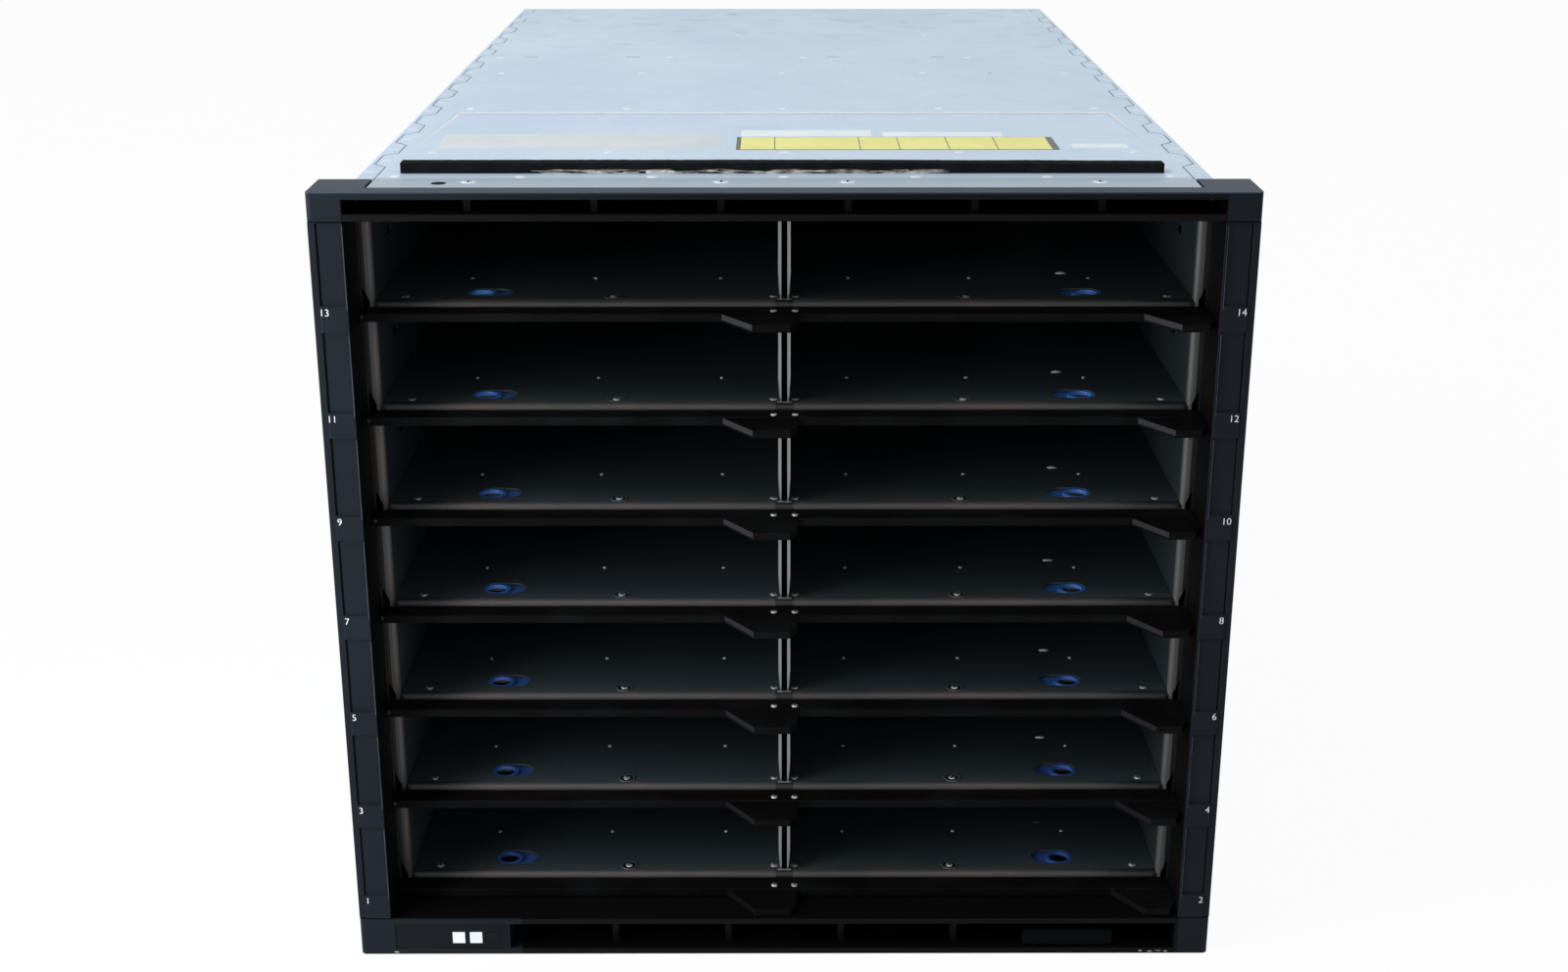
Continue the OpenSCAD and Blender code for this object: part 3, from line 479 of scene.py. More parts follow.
FOAM = speckled("foam_black", (20, 24, 27), (30, 32, 33), 90, 0.85, grain=0.8, gloss=0.03)
TORN_WHITE = speckled("backing_white", (236, 236, 234), (200, 198, 196), 200, 0.7)
TORN = speckled("foam_backing", (232, 224, 214), (120, 96, 82), 160, 0.8)
BOARD = speckled("board_green", (16, 44, 30), (24, 60, 40), 30, 0.4)
CONNECTOR = speckled("connector_black", (20, 21, 22), (34, 35, 36), 60, 0.5)
ROTOR = speckled("rotor_black", (14, 15, 16), (26, 27, 28), 40, 0.42)
SCREW = speckled("screw_steel", (196, 202, 208), (150, 156, 164), 120, 0.35, 0.4)
SHELF_SCREW = speckled("screw_shelf", (206, 211, 216), (104, 108, 112), 700, 0.3, 0.5)
DARK_PIN = speckled("pin_dark", (40, 42, 44), (24, 25, 26), 120, 0.35, gloss=0.2)
# Painted shade: cross recesses and the cover's hole are flat dark shapes that stand for the shade
# inside them; the same black also rings the rear lamps and lines the backs of the ports.
BLACK_AND_RECESS_SHADE = speckled("black_and_recess_shade", (10, 12, 15), (20, 22, 25), 200, 0.6, gloss=0.05)
INK = speckled("number_white", (244, 247, 250), (226, 231, 236), 200, 0.6)
# Painted highlight and shade: a bright and a dull copy of the zinc for the lit and shaded slopes
# of rivets, clinches, skirts and the crease; the dull copy also paints the real scuffs.
HIGHLIGHT_ZINC = speckled("zinc_highlight", (236, 244, 250), (216, 226, 236), 300, 0.35)
SCUFF_AND_SHADE_ZINC = speckled("zinc_scuff_and_shade", (180, 195, 211), (168, 184, 200), 120, 0.5)
SEAM_SHADE = speckled("seam_shade", (52, 64, 78), (36, 46, 58), 200, 0.6, gloss=0.1)
# Painted highlight: thin bright lines on the arrises of the column pockets.
EDGE_HIGHLIGHT = speckled("bezel_edge_highlight", (74, 78, 82), (34, 38, 42), 60, 0.4, gloss=0.2)
EDGE_HIGHLIGHT_PALE = speckled("bezel_edge_highlight_pale", (74, 82, 88), (50, 58, 66), 60, 0.5, gloss=0.1)
CHIPPED = speckled("bezel_chipped", (176, 178, 180), (120, 122, 124), 200, 0.6)
GREEN_LENS = speckled("lens_green", (84, 196, 108), (60, 160, 84), 300, 0.2)
AMBER_LENS = speckled("lens_amber", (226, 160, 60), (196, 130, 40), 300, 0.2)
GOLD = speckled("contact_gold", (214, 176, 96), (186, 146, 70), 300, 0.3, 0.8)
WELDED = speckled("weld_zinc", (186, 202, 217), (132, 147, 162), 260, 0.45)
FRAME_STEEL = speckled("frame_steel", (120, 128, 134), (96, 104, 110), 14, 0.4, 0.6)
print("made the small finishes")

# %% [markdown]
# The latches are blue plastic, painted a deeper blue on the lower rows as painted shade. Little
# light gets down the finger hole, so the lower part of its wall is painted nearly black as painted
# shade: a circle about the hole's middle and a step in height pick it out.

# %% Make the latch finish
HOLE_X = 162.4 * MM
HOLE_DEPTH = 55
HOLE_SHADE_R = 6.0 * MM
HOLE_LIT = 2.5 * MM
OVER_LATCH = 5 * MM


def latch_finish():
    finish = Finish("latch_blue", Specular_IOR_Level=0.35)
    clouds = finish.noise(60, 4)
    # Painted shade: the blue is painted deeper on the lower rows.
    height = finish.ease(finish.axis("Z"), 0.02, 0.36)
    low = finish.fade((50, 86, 158), (40, 70, 134), clouds, 0.35, 0.7)
    high = finish.fade((70, 128, 204), (54, 102, 178), clouds, 0.35, 0.7)
    aside, ahead = abs(finish.axis("X")) - HOLE_X, finish.axis("Y") - behind(HOLE_DEPTH)
    under = (floor_height(1) + OVER_LATCH - finish.axis("Z")) % ROW_PITCH
    in_hole = ((aside * aside + ahead * ahead < HOLE_SHADE_R ** 2)
               * (under > HOLE_LIT + OVER_LATCH))
    tone = finish.blend(finish.blend(low, high, height), (3, 5, 10), in_hole)
    return finish.surface(tone, 0.38 + clouds * 0.12, 2000, 0.08)


BLUE = latch_finish()
print("made", BLUE.name)

# %% [markdown]
# Three indicator windows sit side by side. Two are lit from behind by white film, and the third
# is dark until its lamp comes on, so a mask on X gives it a smoked tone.

# %% Make the window finish
DARK_WINDOW_FROM = -170.5 * MM


def window_finish():
    finish = Finish("window_film", Roughness=0.3, Specular_IOR_Level=0.1)
    clouds = finish.noise(50, 3)
    film = finish.fade((240, 243, 245), (222, 228, 232), clouds, 0.3, 0.7)
    return finish.paint(Base_Color=finish.blend(film, (16, 18, 21),
                                                finish.axis("X") > DARK_WINDOW_FROM))


WINDOW = window_finish()
print("made", WINDOW.name)

# %% [markdown]
# ## Labels
# The cover carries paper labels. Their words stay off, so they're bare: a pale strip, a yellow
# strip ruled into panels and three small white ones. Paper has a faint mottle and a soft sheen.

# %% Make the label finishes
PALE_PAPER = speckled("label_pale", (218, 227, 229), (206, 218, 224), 36, 0.45)
WHITE_PAPER = speckled("label_white", (238, 250, 255), (228, 242, 248), 50, 0.4)
YELLOW_PAPER = speckled("label_yellow", (243, 241, 138), (236, 232, 130), 40, 0.4)
GREY_PRINT = speckled("label_grey", (92, 96, 92), (70, 72, 70), 80, 0.5)
print("made four label finishes")

# %% [markdown]
# ## Plated modules
# A power supply is plated sheet, but its pull handle is black plastic in the same solid. The
# handle is whatever stands behind the casing's rear face, so a mask on depth tells them apart.

# %% Make the module finish
def module_finish():
    finish = Finish("module_plate")
    is_handle = finish.axis("Y") > rear + 0.3 * MM
    clouds = finish.noise(16, 4)
    shade = finish.blend((176, 182, 186), (140, 146, 150), clouds * 0.5)
    shade = finish.blend(shade, (22, 24, 26), is_handle)
    finish.paint(Metallic=0.7 - is_handle * 0.7)
    return finish.surface(shade, 0.36 + clouds * 0.15 + is_handle * 0.1, 1200, 0.08)


MODULE = module_finish()
print("made", MODULE.name)

# %% [markdown]
# ## Giving the solids their finishes
# A solid keeps its mesh and only swaps the material in its slot.

# %% Assign the finishes
FINISHES = {
    ZINC: ["base_pan", "top_cover", "cover_fasteners"],
    SIDE_ZINC: ["left_side_panel", "right_side_panel"],
    BEZEL_BLACK: ["bezel_top_bar", "bezel_bottom_bar", "bezel_left_column",
                  "bezel_right_column"],
    PLATE_BLACK: ["front_plates"],
    MODULE_BLACK: ["fan_housings", "io_fillers"],
    BAR_BLACK: [f"shelf_bar_{row}" for row in ROWS],
    SHELF_STEEL: [f"shelf_{row}" for row in ROWS],
    LINER_STEEL: ["left_bay_liner", "right_bay_liner", "bay_ceiling"],
    FRAME_STEEL: ["rear_frame"],
    FOAM: ["air_seal_strip"],
    WINDOW: ["indicator_windows"],
    BOARD: ["midplane_board"],
    CONNECTOR: ["midplane_connectors"],
    MODULE: ["power_supplies", "management_modules"],
    BLUE: [f"{side}_latch_{row}" for side in SIDES for row in ROWS],
    ROTOR: [f"fan_rotor_{number}" for number in range(1, 11)],
}

for material, names in FINISHES.items():
    for name in names:
        solid = nodes[name]
        solid.data.materials.clear()
        solid.data.materials.append(material)
print("finished solids:", sum(len(names) for names in FINISHES.values()))

# %% [markdown]
# ## Softened edges
# A moulding has no sharp edge: a radius of a few tenths catches a thin line of light, and that
# line is most of what the eye reads on a black part. The solids come in with every face loose,
# so a Weld joins them before a Bevel can find the edges.

# %% Soften the moulded edges
def soften(name):
    solid = nodes[name]
    solid.modifiers.new("join", "WELD").merge_threshold = 0.00001
    bevel = solid.modifiers.new("edge", "BEVEL")
    bevel.width = ARRIS_RADIUS
    bevel.segments = 2
    bevel.limit_method = "ANGLE"
    bevel.angle_limit = math.radians(40)
    bevel.harden_normals = True


ARRIS_RADIUS = 0.4 * MM
MOULDED = FINISHES[BEZEL_BLACK][:4] + FINISHES[BAR_BLACK] + FINISHES[BLUE]
for name in MOULDED:
    soften(name)
print("softened", len(MOULDED), "mouldings")

# %% [markdown]
# ## Building small pieces
# Small parts are drawn straight into a mesh. `piece` gives a drawing its object, finishes and
# body. `skin` joins loops of corners with faces. `turned` lathes a profile of (radius, height)
# steps, which makes rivets and screw heads, and `prism` pushes a flat outline up, which makes
# labels and lines. Both are drawn in millimetres as if they faced up, and a matrix turns them at
# their spot.

# %% Helpers for small pieces
collection = bpy.context.scene.collection


def piece(name, draw, finishes, body="chassis"):
    """A new object whose mesh is filled by draw, riding on a body."""
    mesh = bpy.data.meshes.new(name)
    drawing = bmesh.new()
    draw(drawing)
    drawing.to_mesh(mesh)
    drawing.free()
    for finish in finishes:
        mesh.materials.append(finish)
    made = bpy.data.objects.new(name, mesh)
    collection.objects.link(made)
    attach(made, body)
    return made


UP = Matrix.Identity(3)
TO_FRONT = Matrix(((1, 0, 0), (0, 0, -1), (0, 1, 0)))
TO_REAR = Matrix(((1, 0, 0), (0, 0, 1), (0, -1, 0)))
TO_LEFT = Matrix(((0, 0, -1), (-1, 0, 0), (0, 1, 0)))
TO_RIGHT = Matrix(((0, 0, 1), (1, 0, 0), (0, 1, 0)))


def ring(drawing, spot, facing, outline, height):
    """Corners of an outline of (x, y) points, at a height over a spot."""
    return [drawing.verts.new(Vector(spot) + facing @ Vector((x, y, height)) * MM)
            for x, y in outline]


def skin(drawing, loops, closed=True):
    """Join each loop of corners to the next with quads."""
    faces = []
    for near, far in zip(loops, loops[1:]):
        for step in range(len(near) if closed else len(near) - 1):
            after = (step + 1) % len(near)
            faces.append(drawing.faces.new((near[step], near[after], far[after], far[step])))
    return faces


def turned(drawing, spot, facing, profile, segments=16, finish=0):
    """Lathe (radius, height) steps about a spot; the last step is closed by a cap."""
    angles = [step * math.tau / segments for step in range(segments)]
    rings = [ring(drawing, spot, facing,
                  [(radius * math.cos(a), radius * math.sin(a)) for a in angles], height)
             for radius, height in profile]
    for face in [drawing.faces.new(rings[-1])] + skin(drawing, rings):
        face.smooth = True
        face.material_index = finish


def prism(drawing, outline, facing, spot, thickness, finish=0):
    """Push a flat outline of (x, y) points up by a thickness."""
    low = ring(drawing, spot, facing, outline, 0)
    high = ring(drawing, spot, facing, outline, thickness)
    ends = [drawing.faces.new(high), drawing.faces.new(low[::-1])]
    for face in ends + skin(drawing, [low, high]):
        face.material_index = finish


def dome(radius, height):
    """Profile of a low domed head in five steps."""
    angles = [step * math.pi / 8 for step in range(5)]
    return [(max(radius * math.cos(a), radius * 0.08), height * math.sin(a)) for a in angles]


def cross_outline(reach, half):
    """Outline of a cross recess, a quarter at a time."""
    quarter = [(half, half), (half, reach), (-half, reach)]
    turns = [(1, 0), (0, 1), (-1, 0), (0, -1)]
    return [(x * c - y * s, x * s + y * c) for c, s in turns for x, y in quarter]


def screw_head(drawing, spot, facing, radius, height):
    """Domed screw head with a cross recess painted dark as painted shade."""
    turned(drawing, spot, facing, dome(radius, height))
    top = Vector(spot) + facing @ Vector((0, 0, height * 0.99)) * MM
    cross = cross_outline(radius * 0.55, radius * 0.14)
    prism(drawing, cross, facing, top, height * 0.03, finish=1)


print("helpers ready")

# %% [markdown]
# ## Cover fasteners
# The cover's solid heads are flat discs, so these turned rivets and cross-head screws stand in for
# them. The rivet domes are painted in the highlight zinc as a painted highlight. A pressed head
# has a shallow dished skirt round it, drawn as a flat ring painted darker as painted shade.

# %% Rivets and screws of the cover
RIVET_R = 3
RIVET_H = 0.45
RIVETS = (
    [(across * 97.4, depth) for across in range(-2, 3) for depth in (116, 269, 422)]
    + [(across * 69, 45) for across in range(-2, 3)]
    + [(-203.7, 46), (203.7, 46)]
    + [(-205, 500), (-82, 500), (15, 500), (135, 500), (-35, 628), (112, 628)]
)
SCREWS = ((-163.5, 31), (-32.7, 31), (32.7, 31), (163.5, 31))
SCREW_R = 3.9
HAIR = 0.03
SKIRT_SHADE = [(5.2, 0), (5.0, HAIR)]
HOLE = (-178.5, 28)
HOLE_SHADE_DISC = [(4.05, -0.35), (4.05, -0.05)]


def on_cover(x, depth):
    """A spot on the cover's sheet."""
    return Vector((x * MM, behind(depth), cover_top))


def cover_rivets(drawing):
    for rivet in RIVETS:
        turned(drawing, on_cover(*rivet), UP, dome(RIVET_R, RIVET_H))
    for screw in SCREWS:
        # Painted shade: the skirt is a flat ring, darker than the sheet.
        turned(drawing, on_cover(*screw), UP, SKIRT_SHADE, segments=24, finish=2)
        screw_head(drawing, on_cover(*screw), UP, SCREW_R, RIVET_H)
    # Painted shade: a dark disc sunk in the cover's hole stands for the shade inside it.
    turned(drawing, on_cover(*HOLE), UP, HOLE_SHADE_DISC, segments=24, finish=1)


rivets = piece("cover_rivets", cover_rivets, [HIGHLIGHT_ZINC, BLACK_AND_RECESS_SHADE, SCUFF_AND_SHADE_ZINC])
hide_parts("cover_fasteners")
print("cover fasteners:", len(rivets.data.polygons), "faces")

# %% [markdown]
# ## The interlocking seam
# The cover and the side panels are joined by a row of slanted tabs, like the teeth of a saw. The
# gap round each tab is only a few tenths wide and shows as a thin dark line. One function walks
# along a tab's outline, and a ribbon as wide as the gap is laid on each leg of the walk.

# %% Draw the gap round the tabs
SEAM_IN = body_half / MM - 11
SEAM_OUT = body_half / MM - 3.8
TAB_START = 72.9
TAB_PITCH = 66.8
TAB_LENGTH = 42.2
TAB_SLANT = 8.4
TABS = 10
SEAM_FROM = 38
GAP = 0.5
LEG_GAPS = (GAP, 0.42, 0.16, GAP)


def ribbon(drawing, start, end, width, finish=0):
    """A line a hair thick on the cover, between two (x, depth) places."""
    start, end = Vector(start), Vector(end)
    aside = (end - start).orthogonal().normalized() * width / 2
    outline = [start + aside, start - aside, end - aside, end + aside]
    prism(drawing, outline, UP, on_cover(0, 0), HAIR, finish)


def seam_gaps(drawing):
    for side in SIDES.values():
        for tab in range(TABS):
            begin = TAB_START + tab * TAB_PITCH
            walk = [(SEAM_IN, begin), (SEAM_OUT, begin + TAB_SLANT),
                    (SEAM_OUT, begin + TAB_LENGTH - TAB_SLANT), (SEAM_IN, begin + TAB_LENGTH),
                    (SEAM_IN, begin + TAB_PITCH)]
            places = [(side * x, depth) for x, depth in walk]
            for here, there, width in zip(places, places[1:], LEG_GAPS):
                ribbon(drawing, here, there, width)
        ribbon(drawing, (side * SEAM_IN, SEAM_FROM), (side * SEAM_IN, TAB_START), GAP)


piece("seam_gaps", seam_gaps, [SEAM_SHADE])
print("seam drawn round", TABS * 2, "tabs")

# %% [markdown]
# Each tab is clinched to the panel below it, and the panel is clinched again between two tabs.
# A clinch leaves a small oblong dimple, painted brighter than the sheet as a painted highlight.

# %% Press the clinch marks
CLINCH_ON_TAB = (body_half / MM - 8.2, 18.8)
CLINCH_ON_PANEL = (body_half / MM - 5.2, 53.6)
CLINCH_SHAPE = Matrix.Diagonal((3.2, 1.0, 1.0))


def clinch_marks(drawing):
    for side in SIDES.values():
        for tab in range(-1, TABS):
            for x, after in (CLINCH_ON_TAB, CLINCH_ON_PANEL):
                depth = TAB_START + tab * TAB_PITCH + after
                if depth > SEAM_FROM + 2:
                    turned(drawing, on_cover(side * x, depth), CLINCH_SHAPE,
                           dome(0.95, 0.2), segments=12)


marks = piece("clinch_marks", clinch_marks, [HIGHLIGHT_ZINC])
print("clinch marks:", len(marks.data.polygons), "faces")

# %% [markdown]
# ## Crease in the cover
# The cover is stiffened by a shallow crease behind the labels: a straight ridge across, and two
# that run forwards and outwards and fade near the front. Each ridge is a low ribbon whose rear
# slope is painted as a highlight and whose front slope is painted as shade, and it narrows almost
# to nothing where it fades.

# %% Press the crease
CREASE_DEPTH = 251
CREASE_HALF = 200
CREASE_WIDTH = 8.5
ARM_FORWARD = 120
ARM_OUT = 8
ARM_WIDTHS = (3.0, 0.4)
RIDGE_RISE = 0.006


def ridge(drawing, stations):
    """Sweep a low two-sloped ridge through (x, depth, width) stations in millimetres."""
    rows = []
    for index, (x, depth, width) in enumerate(stations):
        before = on_cover(*stations[max(index - 1, 0)][:2])
        after = on_cover(*stations[min(index + 1, len(stations) - 1)][:2])
        aside = (after - before).normalized().xy.orthogonal().to_3d() * width / 2 * MM
        middle = on_cover(x, depth) + Vector((0, 0, 0.01 * MM))
        crest = middle - aside * 0.3 + Vector((0, 0, width * MM * RIDGE_RISE))
        rows.append([drawing.verts.new(v) for v in (middle - aside, crest, middle + aside)])
    for index, face in enumerate(skin(drawing, rows[::-1], closed=False)):
        face.material_index = index % 2


def crease(drawing):
    ridge(drawing, [(x, CREASE_DEPTH, CREASE_WIDTH)
                    for x in range(-CREASE_HALF, CREASE_HALF + 1, 40)])
    wide, narrow = ARM_WIDTHS
    for side in SIDES.values():
        ridge(drawing, [(side * (CREASE_HALF + ARM_OUT * part), CREASE_DEPTH - ARM_FORWARD * part,
                         wide + (narrow - wide) * part) for part in (n / 8 for n in range(9))])


creased = piece("cover_crease", crease, [SCUFF_AND_SHADE_ZINC, HIGHLIGHT_ZINC])
print("crease:", len(creased.data.polygons), "faces")

# %% [markdown]
# The cover also has four short slits that hold a duct inside, a small hole, and a few scuffs.

# %% Cut marks and scuffs of the cover
SLIT_XS = (-184, -109, 37, 113)
SLIT_DEPTH = 505
SLIT_HALF = 5
SMALL_HOLE = (143, 421)
SCUFFS = ((37, 694, 5), (185, 689, 4), (-36, 744, 6), (-66, 357, 3), (-20, 600, 4), (120, 560, 3))


def cover_marks(drawing):
    for x in SLIT_XS:
        ribbon(drawing, (x - SLIT_HALF, SLIT_DEPTH), (x + SLIT_HALF, SLIT_DEPTH), 0.9)
    turned(drawing, on_cover(*SMALL_HOLE), UP, [(1.2, 0), (1.1, HAIR)])
    for x, depth, length in SCUFFS:
        ribbon(drawing, (x, depth), (x + length, depth + 1.5), 0.5, finish=1)


piece("cover_marks", cover_marks, [SEAM_SHADE, SCUFF_AND_SHADE_ZINC])
print("slits and scuffs:", len(SLIT_XS) + 1 + len(SCUFFS))

# %% [markdown]
# ## Bay numbers
# Plain numbers from 1 to 14 are printed on the bezel beside the bays: odd on the left, even on the
# right. A text object gives the outlines, and it is turned into a mesh.

# %% Print the bay numbers
NUMBER_SIZE = 5.4 * MM
NUMBER_INSET = 5.6 * MM
NUMBER_RISE = 0.9 * MM
TWO_DIGIT_SHIFT = 1.3 * MM
INK_THICKNESS = 0.02 * MM


def bay_number(number):
    words = bpy.data.curves.new(f"number_{number}", "FONT")
    words.body = str(number)
    words.size = NUMBER_SIZE
    words.align_x = "CENTER"
    words.extrude = INK_THICKNESS / 2
    words.offset = -0.012 * NUMBER_SIZE
    printed = bpy.data.objects.new(f"number_text_{number}", words)
    mesh = bpy.data.meshes.new_from_object(printed)
    bpy.data.objects.remove(printed)
    mesh.materials.clear()
    mesh.materials.append(INK)
    made = bpy.data.objects.new(f"bay_number_{number}", mesh)
    made.rotation_euler = (math.pi / 2, 0, 0)
    side = -1 if number % 2 else 1
    inset = NUMBER_INSET + (TWO_DIGIT_SHIFT if number > 9 and side > 0 else 0)
    height = floor_height((number + 1) // 2) + NUMBER_RISE
    made.location = (side * (column_half - inset), front, height)
    collection.objects.link(made)
    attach(made, "chassis")
    return made


numbers = [bay_number(number) for number in range(1, 15)]
print("printed", len(numbers), "bay numbers")

# %% [markdown]
# ## Labels on the cover
# Each label is a thin slab lying on the cover. The yellow one has a grey frame and thin rules
# that part it into panels. Each layer of it is a little thicker than the last, so that no two
# faces coincide.

# %% Lay the labels
PAPER = 0.12
PLAIN_LABELS = {
    "label_long": (-196, -35.5, 130, 175, PALE_PAPER),
    "label_back_left": (-24.7, 51, 167, 188.5, WHITE_PAPER),
    "label_back_right": (57.4, 127, 167, 182, WHITE_PAPER),
    "label_small": (163, 194, 130, 142.5, WHITE_PAPER),
}
YELLOW_STRIP = (-27, 154.5, 124, 165)
GREY_FRAME = (2.6, 4, 0.9)
RULES = (-5.5, 42.6, 64.8, 92.6, 120)
RULE_WIDTH = 0.5


def slab(drawing, x0, x1, depth0, depth1, thickness=PAPER, finish=0):
    """A thin plate on the cover between two x and two depths."""
    outline = [(x0, depth0), (x1, depth0), (x1, depth1), (x0, depth1)]
    prism(drawing, outline, UP, on_cover(0, 0), thickness, finish)


def yellow_label(drawing):
    x0, x1, depth0, depth1 = YELLOW_STRIP
    left, right, edge = GREY_FRAME
    slab(drawing, *YELLOW_STRIP, finish=1)
    slab(drawing, x0 + left, x1 - right, depth0 + edge, depth1 - edge, PAPER * 1.5)
    for x in RULES:
        slab(drawing, x, x + RULE_WIDTH, depth0, depth1, PAPER * 2, finish=1)


for name, (*limits, paper) in PLAIN_LABELS.items():
    piece(name, lambda drawing: slab(drawing, *limits), [paper])
piece("label_yellow_strip", yellow_label, [YELLOW_PAPER, GREY_PRINT])
print("laid", len(PLAIN_LABELS) + 1, "labels")

# %% [markdown]
# ## Seal strip
# The air seal is a strip of soft foam glued to the cover. Foam never has a straight edge: its
# top waves by half a millimetre and its front bulges. A fine grid over the block, moved by
# noise, gives that, and it takes the place of the plain solid.

# %% Make the foam strip
FOAM_STEPS = 240
FOAM_SWELL = 1.16
CORNER_STEPS = 6
CORNER_IN, CORNER_UP = 0.04, 0.05
WAVES, PORES = 26, 300
SAG_FROM, SAG = 0.6, 0.1


def foam_profile():
    """Points round a unit section, -1 to 1 in depth and 0 to 1 in height, corners rounded."""
    points = []
    for corner, (across, up) in enumerate(((1, 0), (1, 1), (-1, 1), (-1, 0))):
        for step in range(CORNER_STEPS):
            angle = math.pi / 2 * (corner - 1 + step / (CORNER_STEPS - 1))
            points.append((across * (1 - CORNER_IN) + CORNER_IN * math.cos(angle),
                           abs(up - CORNER_UP) + CORNER_UP * math.sin(angle)))
    return points


def foam_strip(drawing):
    low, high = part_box("air_seal_strip")
    size = high - low
    loops = []
    for step in range(FOAM_STEPS + 1):
        part = step / FOAM_STEPS
        x = low.x + size.x * part
        sag = 1 - SAG * max(0.0, part - SAG_FROM) / (1 - SAG_FROM)
        loop = []
        for across, up in foam_profile():
            wave = noise.noise(Vector((x * WAVES, across, up)))
            pores = noise.noise(Vector((x * PORES, across * 6, up * 6)))
            y = (low.y + high.y) / 2 + across * size.y / 2 * (0.96 + 0.04 * wave)
            rise = up * (sag - 0.03 * (1 - wave) - 0.02 * (1 - pores))
            loop.append(drawing.verts.new((x, y, low.z + size.z * rise * FOAM_SWELL)))
        loops.append(loop)
    ends = [drawing.faces.new(loops[0][::-1]), drawing.faces.new(loops[-1])]
    sides = skin(drawing, loops)
    for face in sides:
        face.smooth = True
    bmesh.ops.recalc_face_normals(drawing, faces=ends + sides)


foam = piece("foam_strip", foam_strip, [FOAM])
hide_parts("air_seal_strip")
print("foam strip:", len(foam.data.polygons), "faces")

# %% [markdown]
# Its paper backing has torn away along the front edge over two thirds of the width. The shreds
# are narrow curling leaves, laid along the foot of the strip from a seeded random draw.

# %% Tear the foam's backing
SHREDS = 96
SHRED_STEPS = 6
PATCH = ((-73, 0.3), (-65, 0.1), (-57.5, 0.4), (-58, 1.5), (-63, 1.9), (-69, 1.7), (-72.5, 1.9))


def backing_shreds(drawing):
    draw_lots = random.Random(5)
    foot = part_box("air_seal_strip")[0]
    for shred in range(SHREDS):
        x = draw_lots.uniform(-130, 80) * MM
        length = draw_lots.uniform(4, 20) * MM
        width = draw_lots.uniform(0.12, 0.5) * MM
        lift = draw_lots.uniform(0.2, 2.0) * MM
        slope = draw_lots.uniform(-0.06, 0.06)
        edges = []
        for part in (step / SHRED_STEPS for step in range(SHRED_STEPS + 1)):
            along = x + (part - 0.5) * length
            swell = math.sin(math.pi * part) ** 0.7 * width
            y = foot.y - 0.25 * MM + 0.2 * MM * math.sin(part * 9 + shred)
            z = foot.z + lift + slope * (part - 0.5) * length
            edges.append((drawing.verts.new((along, y, max(foot.z + 0.02 * MM, z - swell / 2))),
                          drawing.verts.new((along, y - 0.1 * MM, z + swell / 2 + 0.03 * MM))))
        for face in skin(drawing, edges[::-1], closed=False):
            face.smooth = True


def backing_patch(drawing):
    """The largest leaf, which still lies flat on the front of the foam."""
    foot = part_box("air_seal_strip")[0]
    prism(drawing, PATCH, TO_FRONT, (0, foot.y + 0.1 * MM, foot.z), 0.35)


piece("foam_backing_patch", backing_patch, [TORN_WHITE])
shreds = piece("foam_backing_shreds", backing_shreds, [TORN])
shreds.modifiers.new("thickness", "SOLIDIFY").thickness = 0.06 * MM
print("shreds:", len(shreds.data.polygons), "faces")

# %% [markdown]
# ## Shelf fasteners
# Each shelf has cross-head screws beside the divider and along its front, small rivets scattered
# over its floor, an oblong catch and round pins at the ends of its front bar. Two of the front
# screws sit in a pressed dish, so a raised ring stands round them. They're one piece for each
# shelf, so that they slide out with it.

# %% Screws, rivets and pins of a shelf
FLOOR_SCREWS = ((-5.8, 45), (5.8, 45), (-202, 45), (-91, 45), (97, 45), (204.5, 45))
DISHED_SCREWS = FLOOR_SCREWS[3:5]
DISH = [(5.2, 0), (4.8, 0.5), (4.2, 0.5), (3.4, 0)]
BAR_SCREWS = ((-5.8, 28), (5.8, 28))
FLOOR_RIVETS = ((-172, 86), (-104, 86), (-35, 86), (35, 86), (102, 86), (168, 86), (-104, 240),
                (35, 240), (168, 240), (-35, 240))
CATCH = (154, 97)
CATCH_SHAPE = Matrix.Diagonal((2.8, 1.0, 1.0))
PIN_DEPTH = 24
PIN_DROP = 5.6 * MM


def shelf_fasteners(row):
    floor = floor_height(row)

    def at(spot, height=floor):
        return spot[0] * MM, behind(spot[1]), height

    def draw(drawing):
        for spot in FLOOR_SCREWS:
            screw_head(drawing, at(spot), UP, 2.2, 0.7)
        for spot in DISHED_SCREWS:
            turned(drawing, at(spot), UP, DISH, segments=24, finish=2)
        for spot in BAR_SCREWS:
            screw_head(drawing, at(spot, bar_top(row)), UP, 1.9, 0.8)
        for spot in FLOOR_RIVETS:
            turned(drawing, at(spot), UP, dome(1.2, 0.8), segments=10, finish=4)
        for side in SIDES.values() if row > 1 else ():
            pin = (side * (mouth_half - 1.6 * MM), behind(PIN_DEPTH), floor - PIN_DROP)
            turned(drawing, pin, TO_FRONT, dome(1.1, 0.6), segments=12, finish=3)
        turned(drawing, at(CATCH), CATCH_SHAPE, dome(1.1, 1.1), finish=4 if row > 1 else 3)

    finishes = [SHELF_SCREW, BLACK_AND_RECESS_SHADE, SHELF_STEEL, DARK_PIN, SCREW]
    return piece(f"shelf_fasteners_{row}", draw, finishes, body=f"shelf_{row}")


on_shelves = [shelf_fasteners(row) for row in ROWS]
print("fasteners of a shelf:", len(on_shelves[-1].data.polygons), "faces")

# %% [markdown]
# ## Spot welds of the sides
# The sides are spot welded to flanges inside: two rows along the edges and three columns between.
# The electrodes leave a shallow round dimple with a raised rim.

